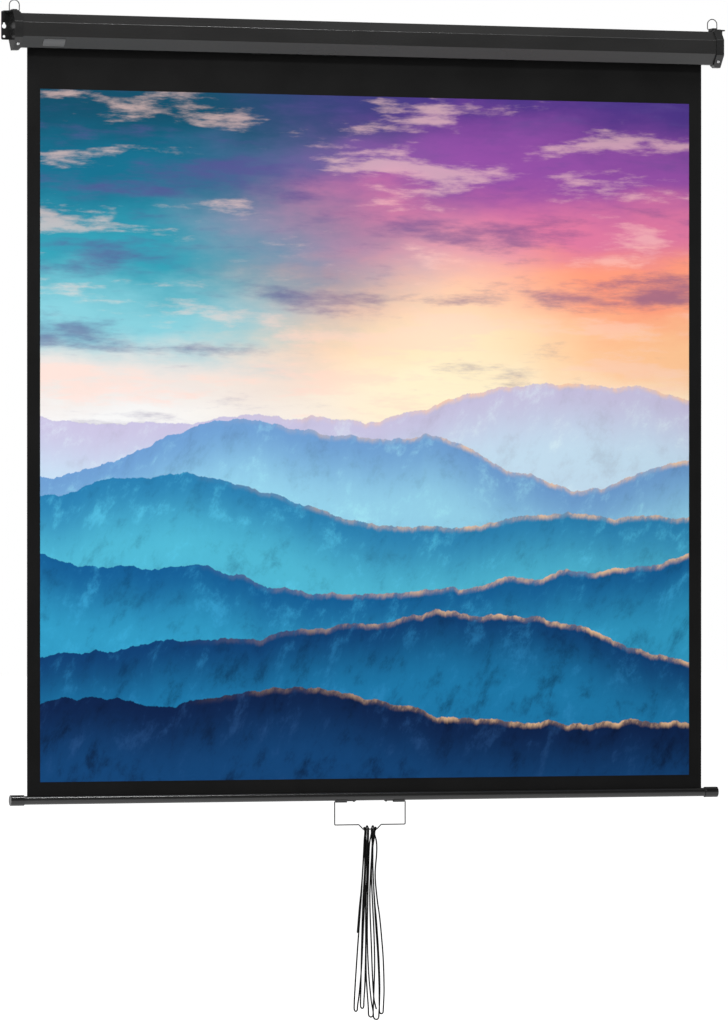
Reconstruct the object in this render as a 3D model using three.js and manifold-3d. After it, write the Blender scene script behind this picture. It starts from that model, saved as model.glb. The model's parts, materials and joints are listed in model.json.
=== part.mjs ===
// A manual pull-down projection screen: a square picture, an octagonal wall case and a corded pull handle.
// Millimetres. +X runs along the case, -Y faces the audience and +Z is up.
// The origin is on the wall, midway between the tops of the two keyhole slots that carry the case.
import * as THREE from "three";
import { mergeVertices } from "three/addons/utils/BufferGeometryUtils.js";
import Module from "manifold-3d";

const wasm = await Module();
wasm.setup();

// Picture and fabric
const pictureWidth = 1800;
const pictureHeight = 1800;
const sideBorder = 35;
const bottomBorder = 35;
const topDrop = 104;
const fabricThickness = 0.4;
const fabricBehindOrigin = -15;
const wrapsLeft = 3;
const wrapPitch = 0.45;

// Case, from the wall outwards
const fabricToEnd = 45.5;
const caseStandOff = 3;
const caseDepth = 62;
const caseHeight = 89;
const caseTop = 22.4;
const upperSlant = 25;
const lowerSlant = 27.2;
const lipWidth = 17;
const backWallHeight = 67.4;
const caseSheet = 1.2;
const caseBend = 1.6;
const hemRadius = 1.5;

// End caps
const capWidth = 21;
const capWall = 3;
const capFrontGrowth = 3;
const capTopGrowth = 6.5;
const capBottomGrowth = 7.8;
const capUpperSlantDepth = 26;
const capUpperSlantHeight = 29.8;
const capLowerSlantDepth = 28;
const capLowerSlantHeight = 32;
const capFloorDepth = 18;
const capBackHeight = 73;
const capEdge = 1.5;
const capRimLip = 1;
const capRimBevel = 5;
const locatingRib = 1.6;
const locatingRibHeight = 9;
const hubRadius = 10;
const hubLength = 12;
const webThickness = 1.8;
const webHeight = 7;

// Wall and ceiling flanges on the end caps
const flangeReach = 20;
const flangeThickness = 3;
const flangeBottom = -45;
const flangeCorner = 4;
const keyholeReach = 12.7;
const keyholeHeadRadius = 6;
const keyholeNeckRadius = 3;
const keyholeDrop = 9.8;
const roundHoleRadius = 3.5;
const roundHoleDrop = 36.6;
const ceilingFlangeDepth = 33;
const ceilingFlangeCorner = 12;
const ceilingHoleDepth = 20;

// Hanger rings and the bosses that hold them
const ringWire = 2.6;
const ringWidth = 26.8;
const ringLeg = 13.7;
const ringCorner = 2.4;
const ringButtGap = 1;
const ringFromEnd = 12.5;
const ringFromWall = 11;
const bossWidth = 16.5;
const bossHeight = 4.5;
const bossDepth = 25;
const bossFromWall = 2.5;
const bossSlope = 3;
const bossShoulder = 5;
const ringPivotRise = 2.1;

// Screws
const capScrewFromEnd = 11.5;
const capScrewHeadRadius = 4.3;
const capScrewHeadHeight = 2.4;
const capScrewShank = 1.9;
const capScrewLength = 11;
const capScrewRecess = 0.8;
const capScrewRecessRim = 1.3;
const clipScrewHeadRadius = 3;
const clipScrewHeadHeight = 1.5;
const clipScrewShank = 1.4;
const clipScrewLength = 6;
const recessArm = 1;
const recessSpan = 4.4;
const recessDepth = 1.2;

// Badge plate
const badgeWidth = 58;
const badgeHeight = 24;
const badgeThickness = 0.8;
const badgeFromEnd = 108;
const badgeCorner = 1.5;

// Roller and its left bearing
const rollerRadius = 19;
const rollerWall = 1;
const rollerDrop = -18;
const rollerOverFabric = 4;
const grooveWidth = 4;
const grooveDepth = 3;
const plugFlange = 3;
const plugLength = 25;
const pawlPinSeat = 12;
const idlerPinRadius = 4;
const idlerPinLength = 50;
const bushWall = 2.2;
const bushFlange = 1.5;

// Spring motor and slow-stop lock in the right end
const shaftRadius = 4;
const bladeThickness = 3;
const bladeWidth = 7;
const springCurls = 24;
const springPitch = 10.4;
const springWire = 2.4;
const spigotRadius = 7.7;
const spigotLength = 28;
const arborGuide = 5;
const ratchetRadius = 9.5;
const ratchetThickness = 5;
const ratchetNotch = 3.2;
const ratchetFromFlange = 4;
const pawlCircle = 14.2;
const pawlBoss = 3.4;
const pawlPinRadius = 1.6;
const pawlPinHead = 1;
const pawlArm = 10.5;
const pawlArmWidth = 3.6;
const pawlHook = 3;

// Bottom bar
const barRadius = 11.5;
const barWall = 1.2;
const barSlot = 3;
const barCapRadius = 14;
const barCapLength = 37;
const barCapWall = 3;
const barCapEdge = 2;
const hemRodRadius = 3;

// Pull handle, its clips and the cord
const handleWire = 3;
const handleWidth = 195.6;
const handleDrop = 61.7;
const handleCorner = 2.6;
const handlePivotEnd = 28;
const dipWidth = 62;
const dipFloor = 38;
const dipDepth = 12;
const dipCorner = 3;
const clipLength = 31;
const clipSheet = 1.2;
const clipWingAngle = 38;
const clipTabAngle = 18;
const clipTabLength = 24;
const clipTabScrew = 19.6;
const cordDiameter = 4;

// Clearances: between pieces that touch, and the overrun of every cut
const gap = 0.3;
const overrun = 1;

// Shape detail
const arcSteps = 3;
const tubeSides = 8;
const roundSides = 32;
const routeSamples = 2000;
const turnSteps = 6;
const footSteps = 6;
const strandSteps = 2;

// Levels and planes worked out from the sizes above
const halfFabric = pictureWidth / 2 + sideBorder;
const halfLength = halfFabric + fabricToEnd;
const caseBottom = caseTop - caseHeight;
const caseBack = -caseStandOff;
const caseFront = caseBack - caseDepth;
const capFront = caseFront - capFrontGrowth;
const capTop = caseTop + capTopGrowth;
const capBottom = caseBottom - capBottomGrowth;
const capInner = halfLength - capWidth;
const capFloor = halfLength - capWall;
const caseHalf = capFloor - gap;
const fabricPlane = fabricBehindOrigin;
const wrapsInner = rollerRadius + gap;
const wrapsOuter = wrapsInner + wrapsLeft * wrapPitch + fabricThickness;
const rollerY = fabricPlane - fabricThickness / 2 - gap - wrapsOuter;
const rollerHalf = halfFabric + rollerOverFabric;
const rollerBore = rollerRadius - rollerWall;
const pictureBottom = caseBottom - topDrop - pictureHeight;
const barCentre = pictureBottom - bottomBorder - barRadius;
const barBottom = barCentre - barRadius;
const handlePivot = barBottom - gap - handleWire / 2;
const handleFloor = handlePivot - handleDrop;
const dipLevel = handleFloor - dipDepth;
const ringX = halfLength - ringFromEnd;
const ringPivot = capTop + ringPivotRise;

// A geometry's closed surface as a solid, and a solid as a geometry
function solid(geometry) {
  const bare = geometry.clone();
  bare.deleteAttribute("normal");
  bare.deleteAttribute("uv");
  const merged = mergeVertices(bare, 1e-4);
  return new wasm.Manifold(new wasm.Mesh({
    numProp: 3,
    vertProperties: merged.attributes.position.array,
    triVerts: new Uint32Array(merged.index.array),
  }));
}

function surface(body) {
  const mesh = body.getMesh();
  const geometry = new THREE.BufferGeometry();
  geometry.setAttribute("position", new THREE.BufferAttribute(mesh.vertProperties, mesh.numProp));
  geometry.setIndex(new THREE.BufferAttribute(mesh.triVerts, 1));
  geometry.computeVertexNormals();
  return geometry;
}

function join(first, ...others) {
  return others.reduce((sum, other) => sum.add(other), first);
}

function cut(first, ...others) {
  return others.reduce((rest, other) => rest.subtract(other), first);
}

// Points of a line whose corners are turned with arcs of one radius
function rounded(corners, radius, closed = false, steps = arcSteps) {
  const count = corners.length;
  const line = [];
  corners.forEach((corner, i) => {
    if (!closed && (i === 0 || i === count - 1)) {
      line.push(corner.clone());
      return;
    }
    const back = corners[(i + count - 1) % count].clone().sub(corner).normalize();
    const ahead = corners[(i + 1) % count].clone().sub(corner).normalize();
    const half = back.angleTo(ahead) / 2;
    const centre = back.clone().add(ahead).normalize();
    centre.multiplyScalar(radius / Math.sin(half)).add(corner);
    const from = back.multiplyScalar(radius / Math.tan(half)).add(corner).sub(centre);
    const to = ahead.multiplyScalar(radius / Math.tan(half)).add(corner).sub(centre);
    const sweep = from.angleTo(to);
    for (let s = 0; s <= steps; s += 1) {
      const near = Math.sin(sweep * (1 - s / steps)) / Math.sin(sweep);
      const far = Math.sin(sweep * (s / steps)) / Math.sin(sweep);
      line.push(from.clone().multiplyScalar(near).addScaledVector(to, far).add(centre));
    }
  });
  return line;
}

// The corners moved sideways by a distance, to the left of the way they run
function offset(corners, distance, closed = false) {
  const count = corners.length;
  const left = (a, b) => new THREE.Vector2(a.y - b.y, b.x - a.x).normalize();
  return corners.map((corner, i) => {
    const before = closed || i > 0 ? left(corners[(i + count - 1) % count], corner) : null;
    const after = closed || i < count - 1 ? left(corner, corners[(i + 1) % count]) : null;
    if (!before || !after) return (before || after).multiplyScalar(distance).add(corner);
    const stretch = distance / (1 + before.dot(after));
    return before.add(after).multiplyScalar(stretch).add(corner);
  });
}

const point = (y, z) => new THREE.Vector2(y, z);

// A strip of sheet metal seen from its end: a folded centre line given its thickness
function foldedSheet(corners, thickness, bend) {
  const outer = rounded(offset(corners, thickness / 2), bend);
  const inner = rounded(offset(corners, -thickness / 2), bend);
  return new THREE.Shape([...outer, ...inner.reverse()]);
}

// An outline in the YZ plane drawn out from one X to another
function alongX(shape, from, to, curveSegments = arcSteps * 4) {
  const settings = { depth: to - from, bevelEnabled: false, curveSegments };
  const geometry = new THREE.ExtrudeGeometry(shape, settings);
  const turn = new THREE.Matrix4().makeBasis(
    new THREE.Vector3(0, 1, 0),
    new THREE.Vector3(0, 0, 1),
    new THREE.Vector3(1, 0, 0),
  );
  return geometry.applyMatrix4(turn).translate(from, 0, 0);
}

function circle(radius, y, z) {
  return new THREE.Shape().absarc(y, z, radius, 0, 2 * Math.PI);
}

function rod(radius, from, to, y, z, sides = roundSides) {
  return alongX(circle(radius, y, z), from, to, sides);
}

// A profile of radius and distance turned round an axis that starts at a place and points along a direction
function turned(profile, place, direction, sides = roundSides) {
  const points = profile.map(([radius, along]) => new THREE.Vector2(radius, along));
  const geometry = new THREE.LatheGeometry(points, sides);
  const turn = new THREE.Quaternion().setFromUnitVectors(new THREE.Vector3(0, 1, 0), direction);
  return geometry.applyQuaternion(turn).translate(place.x, place.y, place.z);
}

function block(x0, x1, y0, y1, z0, z1) {
  const geometry = new THREE.BoxGeometry(x1 - x0, y1 - y0, z1 - z0);
  return geometry.translate((x0 + x1) / 2, (y0 + y1) / 2, (z0 + z1) / 2);
}

// A line of points as a curve that passes each one in equal shares of its run
class Route extends THREE.Curve {
  constructor(points) {
    super();
    this.points = points;
  }

  getPoint(share, target = new THREE.Vector3()) {
    const place = share * (this.points.length - 1);
    const low = Math.min(Math.floor(place), this.points.length - 2);
    return target.copy(this.points[low]).lerp(this.points[low + 1], place - low);
  }

  getPointAt(share, target) {
    return this.getPoint(share, target);
  }

  getTangentAt(share, target = new THREE.Vector3()) {
    const place = Math.round(share * (this.points.length - 1));
    const here = this.points[place];
    const before = this.points[Math.max(place - 1, 0)];
    const after = this.points[Math.min(place + 1, this.points.length - 1)];
    const coming = here.clone().sub(before).normalize();
    const going = after.clone().sub(here).normalize();
    return target.copy(coming).add(going).normalize();
  }
}

function tube(points, diameter, sides = tubeSides) {
  const section = new THREE.Shape(
    Array.from({ length: sides }, (_, i) => {
      const angle = (2 * Math.PI * i) / sides;
      return new THREE.Vector2(Math.cos(angle), Math.sin(angle)).multiplyScalar(diameter / 2);
    }),
  );
  return new THREE.ExtrudeGeometry(section, {
    steps: points.length - 1,
    bevelEnabled: false,
    extrudePath: new Route(points),
  });
}

// The same piece on the other end of the screen
function mirrored(geometry) {
  const other = geometry.clone().scale(-1, 1, 1);
  const index = other.index ? other.index.array : null;
  const flipped = other.index ? other : mergeVertices(other);
  const order = index || flipped.index.array;
  for (let i = 0; i < order.length; i += 3) {
    [order[i + 1], order[i + 2]] = [order[i + 2], order[i + 1]];
  }
  flipped.computeVertexNormals();
  return flipped;
}

// Case outline: from the lip under the slot, round the front and top, and down the back wall
function caseCorners() {
  const lipFront = caseFront + lowerSlant;
  return [
    point(lipFront + lipWidth, caseBottom),
    point(lipFront, caseBottom),
    point(caseFront, caseBottom + lowerSlant),
    point(caseFront, caseTop - upperSlant),
    point(caseFront + upperSlant, caseTop),
    point(caseBack, caseTop),
    point(caseBack, caseTop - backWallHeight),
  ];
}

function housing() {
  const middle = offset(caseCorners(), -caseSheet / 2);
  const sheet = solid(alongX(foldedSheet(middle, caseSheet, caseBend), -caseHalf, caseHalf));
  const edges = [middle[0], middle[middle.length - 1]];
  const inward = [point(0, 1), point(-1, 0)];
  const fromEdge = [point(-1, 0), point(0, 1)];
  const hems = edges.map((edge, i) => {
    const centre = edge.clone().addScaledVector(inward[i], hemRadius - caseSheet / 2);
    centre.addScaledVector(fromEdge[i], hemRadius);
    return solid(rod(hemRadius, -caseHalf, caseHalf, centre.x, centre.y, arcSteps * 4));
  });
  const holes = [-1, 1].map((side) => solid(capScrewHole(side)));
  return surface(cut(join(sheet, ...hems), ...holes));
}

// End cap outline, larger than the case and closed across its slot
function capCorners() {
  return [
    point(0, capTop),
    point(0, capTop - capBackHeight),
    point(capFront + capLowerSlantDepth + capFloorDepth, capBottom),
    point(capFront + capLowerSlantDepth, capBottom),
    point(capFront, capBottom + capLowerSlantHeight),
    point(capFront, capTop - capUpperSlantHeight),
    point(capFront + capUpperSlantDepth, capTop),
  ];
}

// The place and outward direction of the screw through the lower slant of a cap
function capScrewSeat(side) {
  const corners = capCorners();
  const low = corners[3];
  const high = corners[4];
  const middle = low.clone().add(high).divideScalar(2);
  const along = high.clone().sub(low).normalize();
  const place = new THREE.Vector3(side * (halfLength - capScrewFromEnd), middle.x, middle.y);
  const outward = new THREE.Vector3(0, -along.y, along.x);
  return { place, outward };
}

function capScrewHole(side) {
  const { place, outward } = capScrewSeat(side);
  const radius = capScrewShank + gap;
  const start = place.clone().addScaledVector(outward, -capScrewLength - overrun);
  const length = capScrewLength + 2 * overrun;
  return turned([[0, 0], [radius, 0], [radius, length], [0, length]], start, outward, arcSteps * 4);
}

function capScrewCounterbore() {
  const { place, outward } = capScrewSeat(1);
  const radius = capScrewHeadRadius + capScrewRecessRim;
  const start = place.clone().addScaledVector(outward, -capScrewRecess);
  const length = capScrewRecess + overrun;
  return turned([[0, 0], [radius, 0], [radius, length], [0, length]], start, outward);
}

function capShell() {
  const outline = new THREE.Shape(rounded(capCorners(), capEdge, true));
  const seat = offset(caseCorners(), gap, true);
  const pocket = new THREE.Shape(rounded(seat, caseBend, true));
  const ribOuter = offset(caseCorners(), -caseSheet - gap - hemRadius * 2, true);
  const ribInner = offset(caseCorners(), -caseSheet - gap - hemRadius * 2 - locatingRib, true);
  const rib = new THREE.Shape(ribOuter);
  rib.holes.push(new THREE.Path(ribInner.toReversed()));
  const shell = cut(
    solid(alongX(outline, capInner, halfLength)),
    solid(alongX(pocket, capInner - overrun, capFloor)),
  );
  const webs = [0, 1].map((turn) => {
    const across = turn ? caseHeight : webThickness;
    const up = turn ? webThickness : caseHeight;
    const web = block(
      capFloor - webHeight, capFloor + overrun,
      rollerY - across, rollerY + across, rollerDrop - up, rollerDrop + up,
    );
    return solid(web).intersect(solid(alongX(new THREE.Shape(ribInner), capFloor - webHeight, halfLength)));
  });
  return join(
    shell,
    solid(alongX(rib, capFloor - locatingRibHeight, capFloor + capWall / 2)),
    solid(rod(hubRadius, capFloor - hubLength, capFloor + capWall / 2, rollerY, rollerDrop)),
    ...webs,
  );
}

function flangePlate(shape) {
  return new THREE.ExtrudeGeometry(shape, { depth: flangeThickness, bevelEnabled: false, curveSegments: 10 });
}

// The flange behind the cap that the wall screw holds, with its keyhole and its round hole
function wallFlange() {
  const outer = halfLength + flangeReach;
  const inner = halfLength - capWall;
  const corners = [
    new THREE.Vector2(inner, flangeBottom),
    new THREE.Vector2(outer, flangeBottom),
    new THREE.Vector2(outer, capTop),
    new THREE.Vector2(inner, capTop),
  ];
  const plate = new THREE.Shape(rounded(corners, flangeCorner, true));
  const keyhole = new THREE.Path();
  const reach = halfLength + keyholeReach;
  const neckTop = -keyholeNeckRadius;
  const meeting = Math.asin(keyholeNeckRadius / keyholeHeadRadius);
  const headStart = Math.PI / 2 + meeting;
  const headEnd = Math.PI / 2 - meeting + 2 * Math.PI;
  keyhole.absarc(reach, neckTop, keyholeNeckRadius, 0, Math.PI);
  keyhole.absarc(reach, -keyholeDrop, keyholeHeadRadius, headStart, headEnd);
  plate.holes.push(keyhole);
  plate.holes.push(new THREE.Path().absarc(reach, -roundHoleDrop, roundHoleRadius, 0, 2 * Math.PI));
  return solid(flangePlate(plate).rotateX(Math.PI / 2));
}

// The flange level with the top of the cap that the ceiling screw holds
function ceilingFlange() {
  const outer = halfLength + flangeReach;
  const inner = halfLength - capWall;
  const plate = new THREE.Shape();
  plate.moveTo(inner, 0);
  plate.lineTo(inner, -ceilingFlangeDepth);
  plate.lineTo(outer - ceilingFlangeCorner, -ceilingFlangeDepth);
  plate.absarc(
    outer - ceilingFlangeCorner, -ceilingFlangeDepth + ceilingFlangeCorner,
    ceilingFlangeCorner, -Math.PI / 2, 0,
  );
  plate.lineTo(outer, 0);
  const hole = new THREE.Path();
  hole.absarc(halfLength + keyholeReach, -ceilingHoleDepth, roundHoleRadius, 0, 2 * Math.PI);
  plate.holes.push(hole);
  return solid(flangePlate(plate).translate(0, 0, capTop - flangeThickness));
}

// An outline in the XZ plane drawn right through the depth of a cap
function drawnBack(shape) {
  const settings = { depth: 2 * overrun - capFront, bevelEnabled: false };
  const geometry = new THREE.ExtrudeGeometry(shape, settings);
  return solid(geometry.rotateX(Math.PI / 2).translate(0, overrun, 0));
}

// The slanted cuts on the inner edge of a cap, where it stands above and below the case
function rimBevels() {
  const levels = [
    { rim: caseTop + gap + capRimLip, edge: capTop, beyond: capTop + overrun },
    { rim: caseBottom - gap - capRimLip, edge: capBottom, beyond: capBottom - overrun },
  ];
  return levels.map(({ rim, edge, beyond }) => drawnBack(new THREE.Shape([
    new THREE.Vector2(capInner - overrun, rim),
    new THREE.Vector2(capInner, rim),
    new THREE.Vector2(capInner + capRimBevel, edge),
    new THREE.Vector2(capInner + capRimBevel, beyond),
    new THREE.Vector2(capInner - overrun, beyond),
  ])));
}

// The boss on top of the cap, sloped at its front and inner edges, with the bore for the ring
function ringBoss() {
  const back = -bossFromWall;
  const front = back - bossDepth;
  const side = new THREE.Shape([
    point(back, capTop - capWall),
    point(back, capTop + bossHeight),
    point(front + bossSlope, capTop + bossHeight),
    point(front, capTop - capWall),
  ].reverse());
  const inner = ringX - bossWidth / 2;
  const outer = ringX + bossWidth / 2;
  const face = new THREE.Shape([
    new THREE.Vector2(inner, capTop - capWall),
    new THREE.Vector2(outer, capTop - capWall),
    new THREE.Vector2(outer, capTop + bossHeight),
    new THREE.Vector2(inner + bossShoulder, capTop + bossHeight),
    new THREE.Vector2(inner, capTop),
  ]);
  const body = solid(alongX(side, inner, outer)).intersect(drawnBack(face));
  const bore = rod(
    ringWire / 2 + gap, ringX - bossWidth / 2 - overrun, ringX + bossWidth / 2 + overrun,
    -ringFromWall, ringPivot, 16,
  );
  return { body, bore: solid(bore) };
}

// One end cap. The left one has a round seat for a bush, the right one a slot for the shaft's blade
function endCap(seat) {
  const boss = ringBoss();
  const shell = cut(capShell(), ...rimBevels());
  const body = join(shell, wallFlange(), ceilingFlange(), boss.body);
  const holes = [capScrewHole(1), capScrewCounterbore(), seat].map(solid);
  return surface(cut(body, boss.bore, ...holes));
}

function bushSeat() {
  const radius = idlerPinRadius + gap + bushWall + gap;
  return rod(radius, capFloor - hubLength - overrun, capFloor, rollerY, rollerDrop);
}

function bladeSeat() {
  const halfThick = bladeThickness / 2 + gap;
  const halfWide = bladeWidth / 2 + gap;
  return block(
    capFloor - hubLength - overrun, capFloor,
    rollerY - halfThick, rollerY + halfThick, rollerDrop - halfWide, rollerDrop + halfWide,
  );
}

// A pan head screw with a cross recess, its head seated at a place
function screw(place, outward, shank, length, headRadius, headHeight) {
  const crown = headHeight / 3;
  const body = solid(turned([
    [0, -length], [shank / 2, -length + shank], [shank, -length + 2 * shank], [shank, 0],
    [headRadius, 0], [headRadius, headHeight - crown], [headRadius - crown, headHeight], [0, headHeight],
  ], place, outward, 20));
  const arm = (headRadius * recessSpan) / capScrewHeadRadius / 2;
  const across = new THREE.Vector3(1, 0, 0);
  const cross = [0, Math.PI / 2].map((angle) => {
    const bar = new THREE.BoxGeometry(2 * arm, 2 * recessDepth, recessArm);
    const frame = new THREE.Matrix4().makeBasis(across, outward, across.clone().cross(outward));
    return solid(bar.rotateY(angle).applyMatrix4(frame).translate(
      place.x + outward.x * headHeight, place.y + outward.y * headHeight, place.z + outward.z * headHeight,
    ));
  });
  return surface(cut(body, join(...cross)));
}

function capScrew(side) {
  const { place, outward } = capScrewSeat(side);
  place.addScaledVector(outward, gap - capScrewRecess);
  return screw(place, outward, capScrewShank, capScrewLength, capScrewHeadRadius, capScrewHeadHeight);
}

// A hanger ring: one wire bent to an arch, with its two ends butted inside the boss
function hangerRing() {
  const half = ringWidth / 2;
  const corner = (x, z) => new THREE.Vector3(x, -ringFromWall, z);
  const left = rounded([
    corner(ringX - ringButtGap / 2, ringPivot),
    corner(ringX - half, ringPivot),
    corner(ringX - half, ringPivot + ringLeg),
  ], ringCorner);
  const right = left.map((p) => corner(2 * ringX - p.x, p.z)).reverse();
  const arch = Array.from({ length: 11 }, (_, i) => {
    const angle = Math.PI * (1 - (i + 1) / 12);
    return corner(ringX + half * Math.cos(angle), ringPivot + ringLeg + half * Math.sin(angle));
  });
  return tube([...left, ...arch, ...right], ringWire);
}

function badgePlate() {
  const corners = caseCorners();
  const low = corners[1];
  const high = corners[2];
  const halfWide = badgeWidth / 2;
  const halfHigh = badgeHeight / 2;
  const plate = new THREE.Shape(rounded([
    new THREE.Vector2(-halfWide, -halfHigh),
    new THREE.Vector2(halfWide, -halfHigh),
    new THREE.Vector2(halfWide, halfHigh),
    new THREE.Vector2(-halfWide, halfHigh),
  ], badgeCorner, true));
  const geometry = new THREE.ExtrudeGeometry(plate, { depth: badgeThickness, bevelEnabled: false });
  const up = new THREE.Vector3(0, high.x - low.x, high.y - low.y).normalize();
  const along = new THREE.Vector3(1, 0, 0);
  const outward = along.clone().cross(up);
  const frame = new THREE.Matrix4().makeBasis(along, up, outward);
  const centre = low.clone().add(high).divideScalar(2);
  const middle = new THREE.Vector3(-halfLength + badgeFromEnd, centre.x, centre.y);
  middle.addScaledVector(outward, gap);
  return geometry.applyMatrix4(frame).translate(middle.x, middle.y, middle.z);
}

// The roller tube, with the groove that takes the fabric's bead
function rollerTube() {
  const outline = (radius, deep, wide) => {
    const open = Math.asin(wide / 2 / radius);
    const path = new THREE.Shape();
    path.absarc(rollerY, rollerDrop, radius, Math.PI / 2 + open, Math.PI / 2 - open + 2 * Math.PI);
    path.lineTo(rollerY + wide / 2, rollerDrop + deep);
    path.lineTo(rollerY - wide / 2, rollerDrop + deep);
    return path;
  };
  const floor = rollerRadius - grooveDepth;
  const shape = outline(rollerRadius, floor, grooveWidth);
  shape.holes.push(outline(rollerBore, floor - rollerWall, grooveWidth + 2 * rollerWall));
  return alongX(shape, -rollerHalf, rollerHalf, roundSides);
}

// The turns of fabric that stay on the roller when the screen is down
function fabricWraps() {
  const steps = 24 * wrapsLeft;
  const spiral = (lift) => Array.from({ length: steps + 1 }, (_, i) => {
    const angle = (2 * Math.PI * wrapsLeft * i) / steps;
    const radius = wrapsInner + (wrapPitch * wrapsLeft * i) / steps + lift;
    return point(rollerY + radius * Math.cos(angle), rollerDrop + radius * Math.sin(angle));
  });
  const outline = [...spiral(fabricThickness), ...spiral(0).reverse()];
  return alongX(new THREE.Shape(outline), -halfFabric, halfFabric);
}

// The moulded plug that closes an end of the roller, cleared of the groove inside the tube
function plugBody(bore) {
  const radius = rollerBore - gap;
  const body = solid(turned([
    [bore, -plugLength], [radius, -plugLength], [radius, gap], [rollerRadius, gap],
    [rollerRadius, gap + plugFlange], [bore, gap + plugFlange], [bore, -plugLength],
  ], new THREE.Vector3(rollerHalf, rollerY, rollerDrop), new THREE.Vector3(1, 0, 0)));
  const half = grooveWidth / 2 + rollerWall + gap;
  const notch = solid(block(
    rollerHalf - plugLength - overrun, rollerHalf + gap, rollerY - half, rollerY + half,
    rollerDrop + rollerRadius - grooveDepth - rollerWall - gap, rollerDrop + rollerRadius,
  ));
  return cut(body, notch);
}

function idlerPlug() {
  return mirrored(surface(plugBody(idlerPinRadius + gap)));
}

function idlerPin() {
  const end = -capFloor + gap;
  return rod(idlerPinRadius, end, end + idlerPinLength, rollerY, rollerDrop);
}

function idlerBush() {
  const bore = idlerPinRadius + gap;
  const radius = bore + bushWall;
  const profile = [
    [bore, gap], [radius, gap], [radius, hubLength + gap], [radius + bushFlange, hubLength + gap],
    [radius + bushFlange, hubLength + gap + bushFlange], [bore, hubLength + gap + bushFlange], [bore, gap],
  ];
  return turned(profile, new THREE.Vector3(-capFloor, rollerY, rollerDrop), new THREE.Vector3(1, 0, 0));
}

// Places along the spring motor, counted from the right end of the roller
const springRight = rollerHalf - plugLength;
const springLeft = springRight - springCurls * springPitch;
const shaftEnd = springLeft - arborGuide - gap;
const plugFace = rollerHalf + gap + plugFlange;
const ratchetNear = plugFace + ratchetFromFlange;

function springShaft() {
  const shoulder = capFloor - hubLength - gap;
  const round = solid(rod(shaftRadius, shaftEnd, shoulder, rollerY, rollerDrop));
  const blade = solid(block(
    shoulder - overrun, capFloor - gap,
    rollerY - bladeThickness / 2, rollerY + bladeThickness / 2,
    rollerDrop - bladeWidth / 2, rollerDrop + bladeWidth / 2,
  ));
  return surface(join(round, blade));
}

// The plug that turns on the shaft, with the spigot that grips the spring and the seats of the pawl pins
function drivePlug() {
  const bore = shaftRadius + gap;
  const spigot = solid(turned([
    [bore, -spigotLength], [spigotRadius, -spigotLength], [spigotRadius, overrun], [bore, overrun],
    [bore, -spigotLength],
  ], new THREE.Vector3(springRight, rollerY, rollerDrop), new THREE.Vector3(1, 0, 0)));
  const pins = [-1, 1].map((side) => solid(rod(
    pawlPinRadius + gap, plugFace - pawlPinSeat, plugFace + overrun,
    rollerY + side * pawlCircle, rollerDrop, 12,
  )));
  return surface(cut(join(plugBody(bore), spigot), ...pins));
}

function springArbor() {
  const bore = shaftRadius + gap;
  return turned([
    [bore, -arborGuide], [rollerBore - grooveDepth - gap, -arborGuide], [rollerBore - grooveDepth - gap, 0],
    [spigotRadius, 0], [spigotRadius, spigotLength], [bore, spigotLength], [bore, -arborGuide],
  ], new THREE.Vector3(springLeft, rollerY, rollerDrop), new THREE.Vector3(1, 0, 0));
}

// The torsion spring: one wire wound round the shaft, gripped by a spigot at each end
function torsionSpring() {
  const steps = 8;
  const radius = (spigotRadius + gap + springWire / 2) / Math.cos(Math.PI / steps);
  const run = springRight - springLeft - 2 * gap - 2 * springWire;
  const start = springLeft + gap + springWire;
  const coil = Array.from({ length: springCurls * steps + 1 }, (_, i) => {
    const angle = (2 * Math.PI * i) / steps;
    const share = i / (springCurls * steps);
    return new THREE.Vector3(
      start + share * run, rollerY + radius * Math.cos(angle), rollerDrop + radius * Math.sin(angle),
    );
  });
  const first = coil[0].clone().setX(springLeft + gap);
  const last = coil[coil.length - 1].clone().setX(springRight - gap);
  return tube([first, ...coil, last], springWire, 5);
}

// The fixed wheel whose notches catch a pawl when the roller turns slowly
function ratchetWheel() {
  const outline = new THREE.Shape();
  const notch = Math.PI / 7;
  [0, 1].forEach((i) => {
    const start = Math.PI * i + notch;
    outline.absarc(rollerY, rollerDrop, ratchetRadius, start, start + Math.PI - notch);
    const step = ratchetRadius - ratchetNotch;
    const end = start + Math.PI - notch;
    outline.lineTo(rollerY + step * Math.cos(end), rollerDrop + step * Math.sin(end));
  });
  outline.holes.push(
    new THREE.Path().absarc(rollerY, rollerDrop, shaftRadius + gap, notch / 2, notch / 2 + 2 * Math.PI),
  );
  return alongX(outline, ratchetNear, ratchetNear + ratchetThickness, 10);
}

// One pawl, drawn with its pin at the right of the roller's axis and turned about that axis by half turns
function pawl(halfTurns) {
  const inner = -pawlArmWidth / 3;
  const outer = inner + pawlArmWidth;
  const shape = new THREE.Shape();
  const start = Math.acos(outer / pawlBoss);
  shape.absarc(0, 0, pawlBoss, Math.acos(inner / pawlBoss), start + 2 * Math.PI);
  shape.lineTo(outer, pawlArm - pawlArmWidth / 2);
  shape.lineTo(inner, pawlArm + pawlArmWidth / 3);
  shape.lineTo(-pawlHook, pawlArm);
  shape.lineTo(inner, pawlArm - pawlArmWidth);
  shape.holes.push(new THREE.Path().absarc(0, 0, pawlPinRadius + gap, 0, 2 * Math.PI));
  const geometry = alongX(shape, ratchetNear, ratchetNear + ratchetThickness, 8);
  geometry.translate(0, pawlCircle, 0).rotateX(Math.PI * halfTurns);
  return geometry.translate(0, rollerY, rollerDrop);
}

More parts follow.
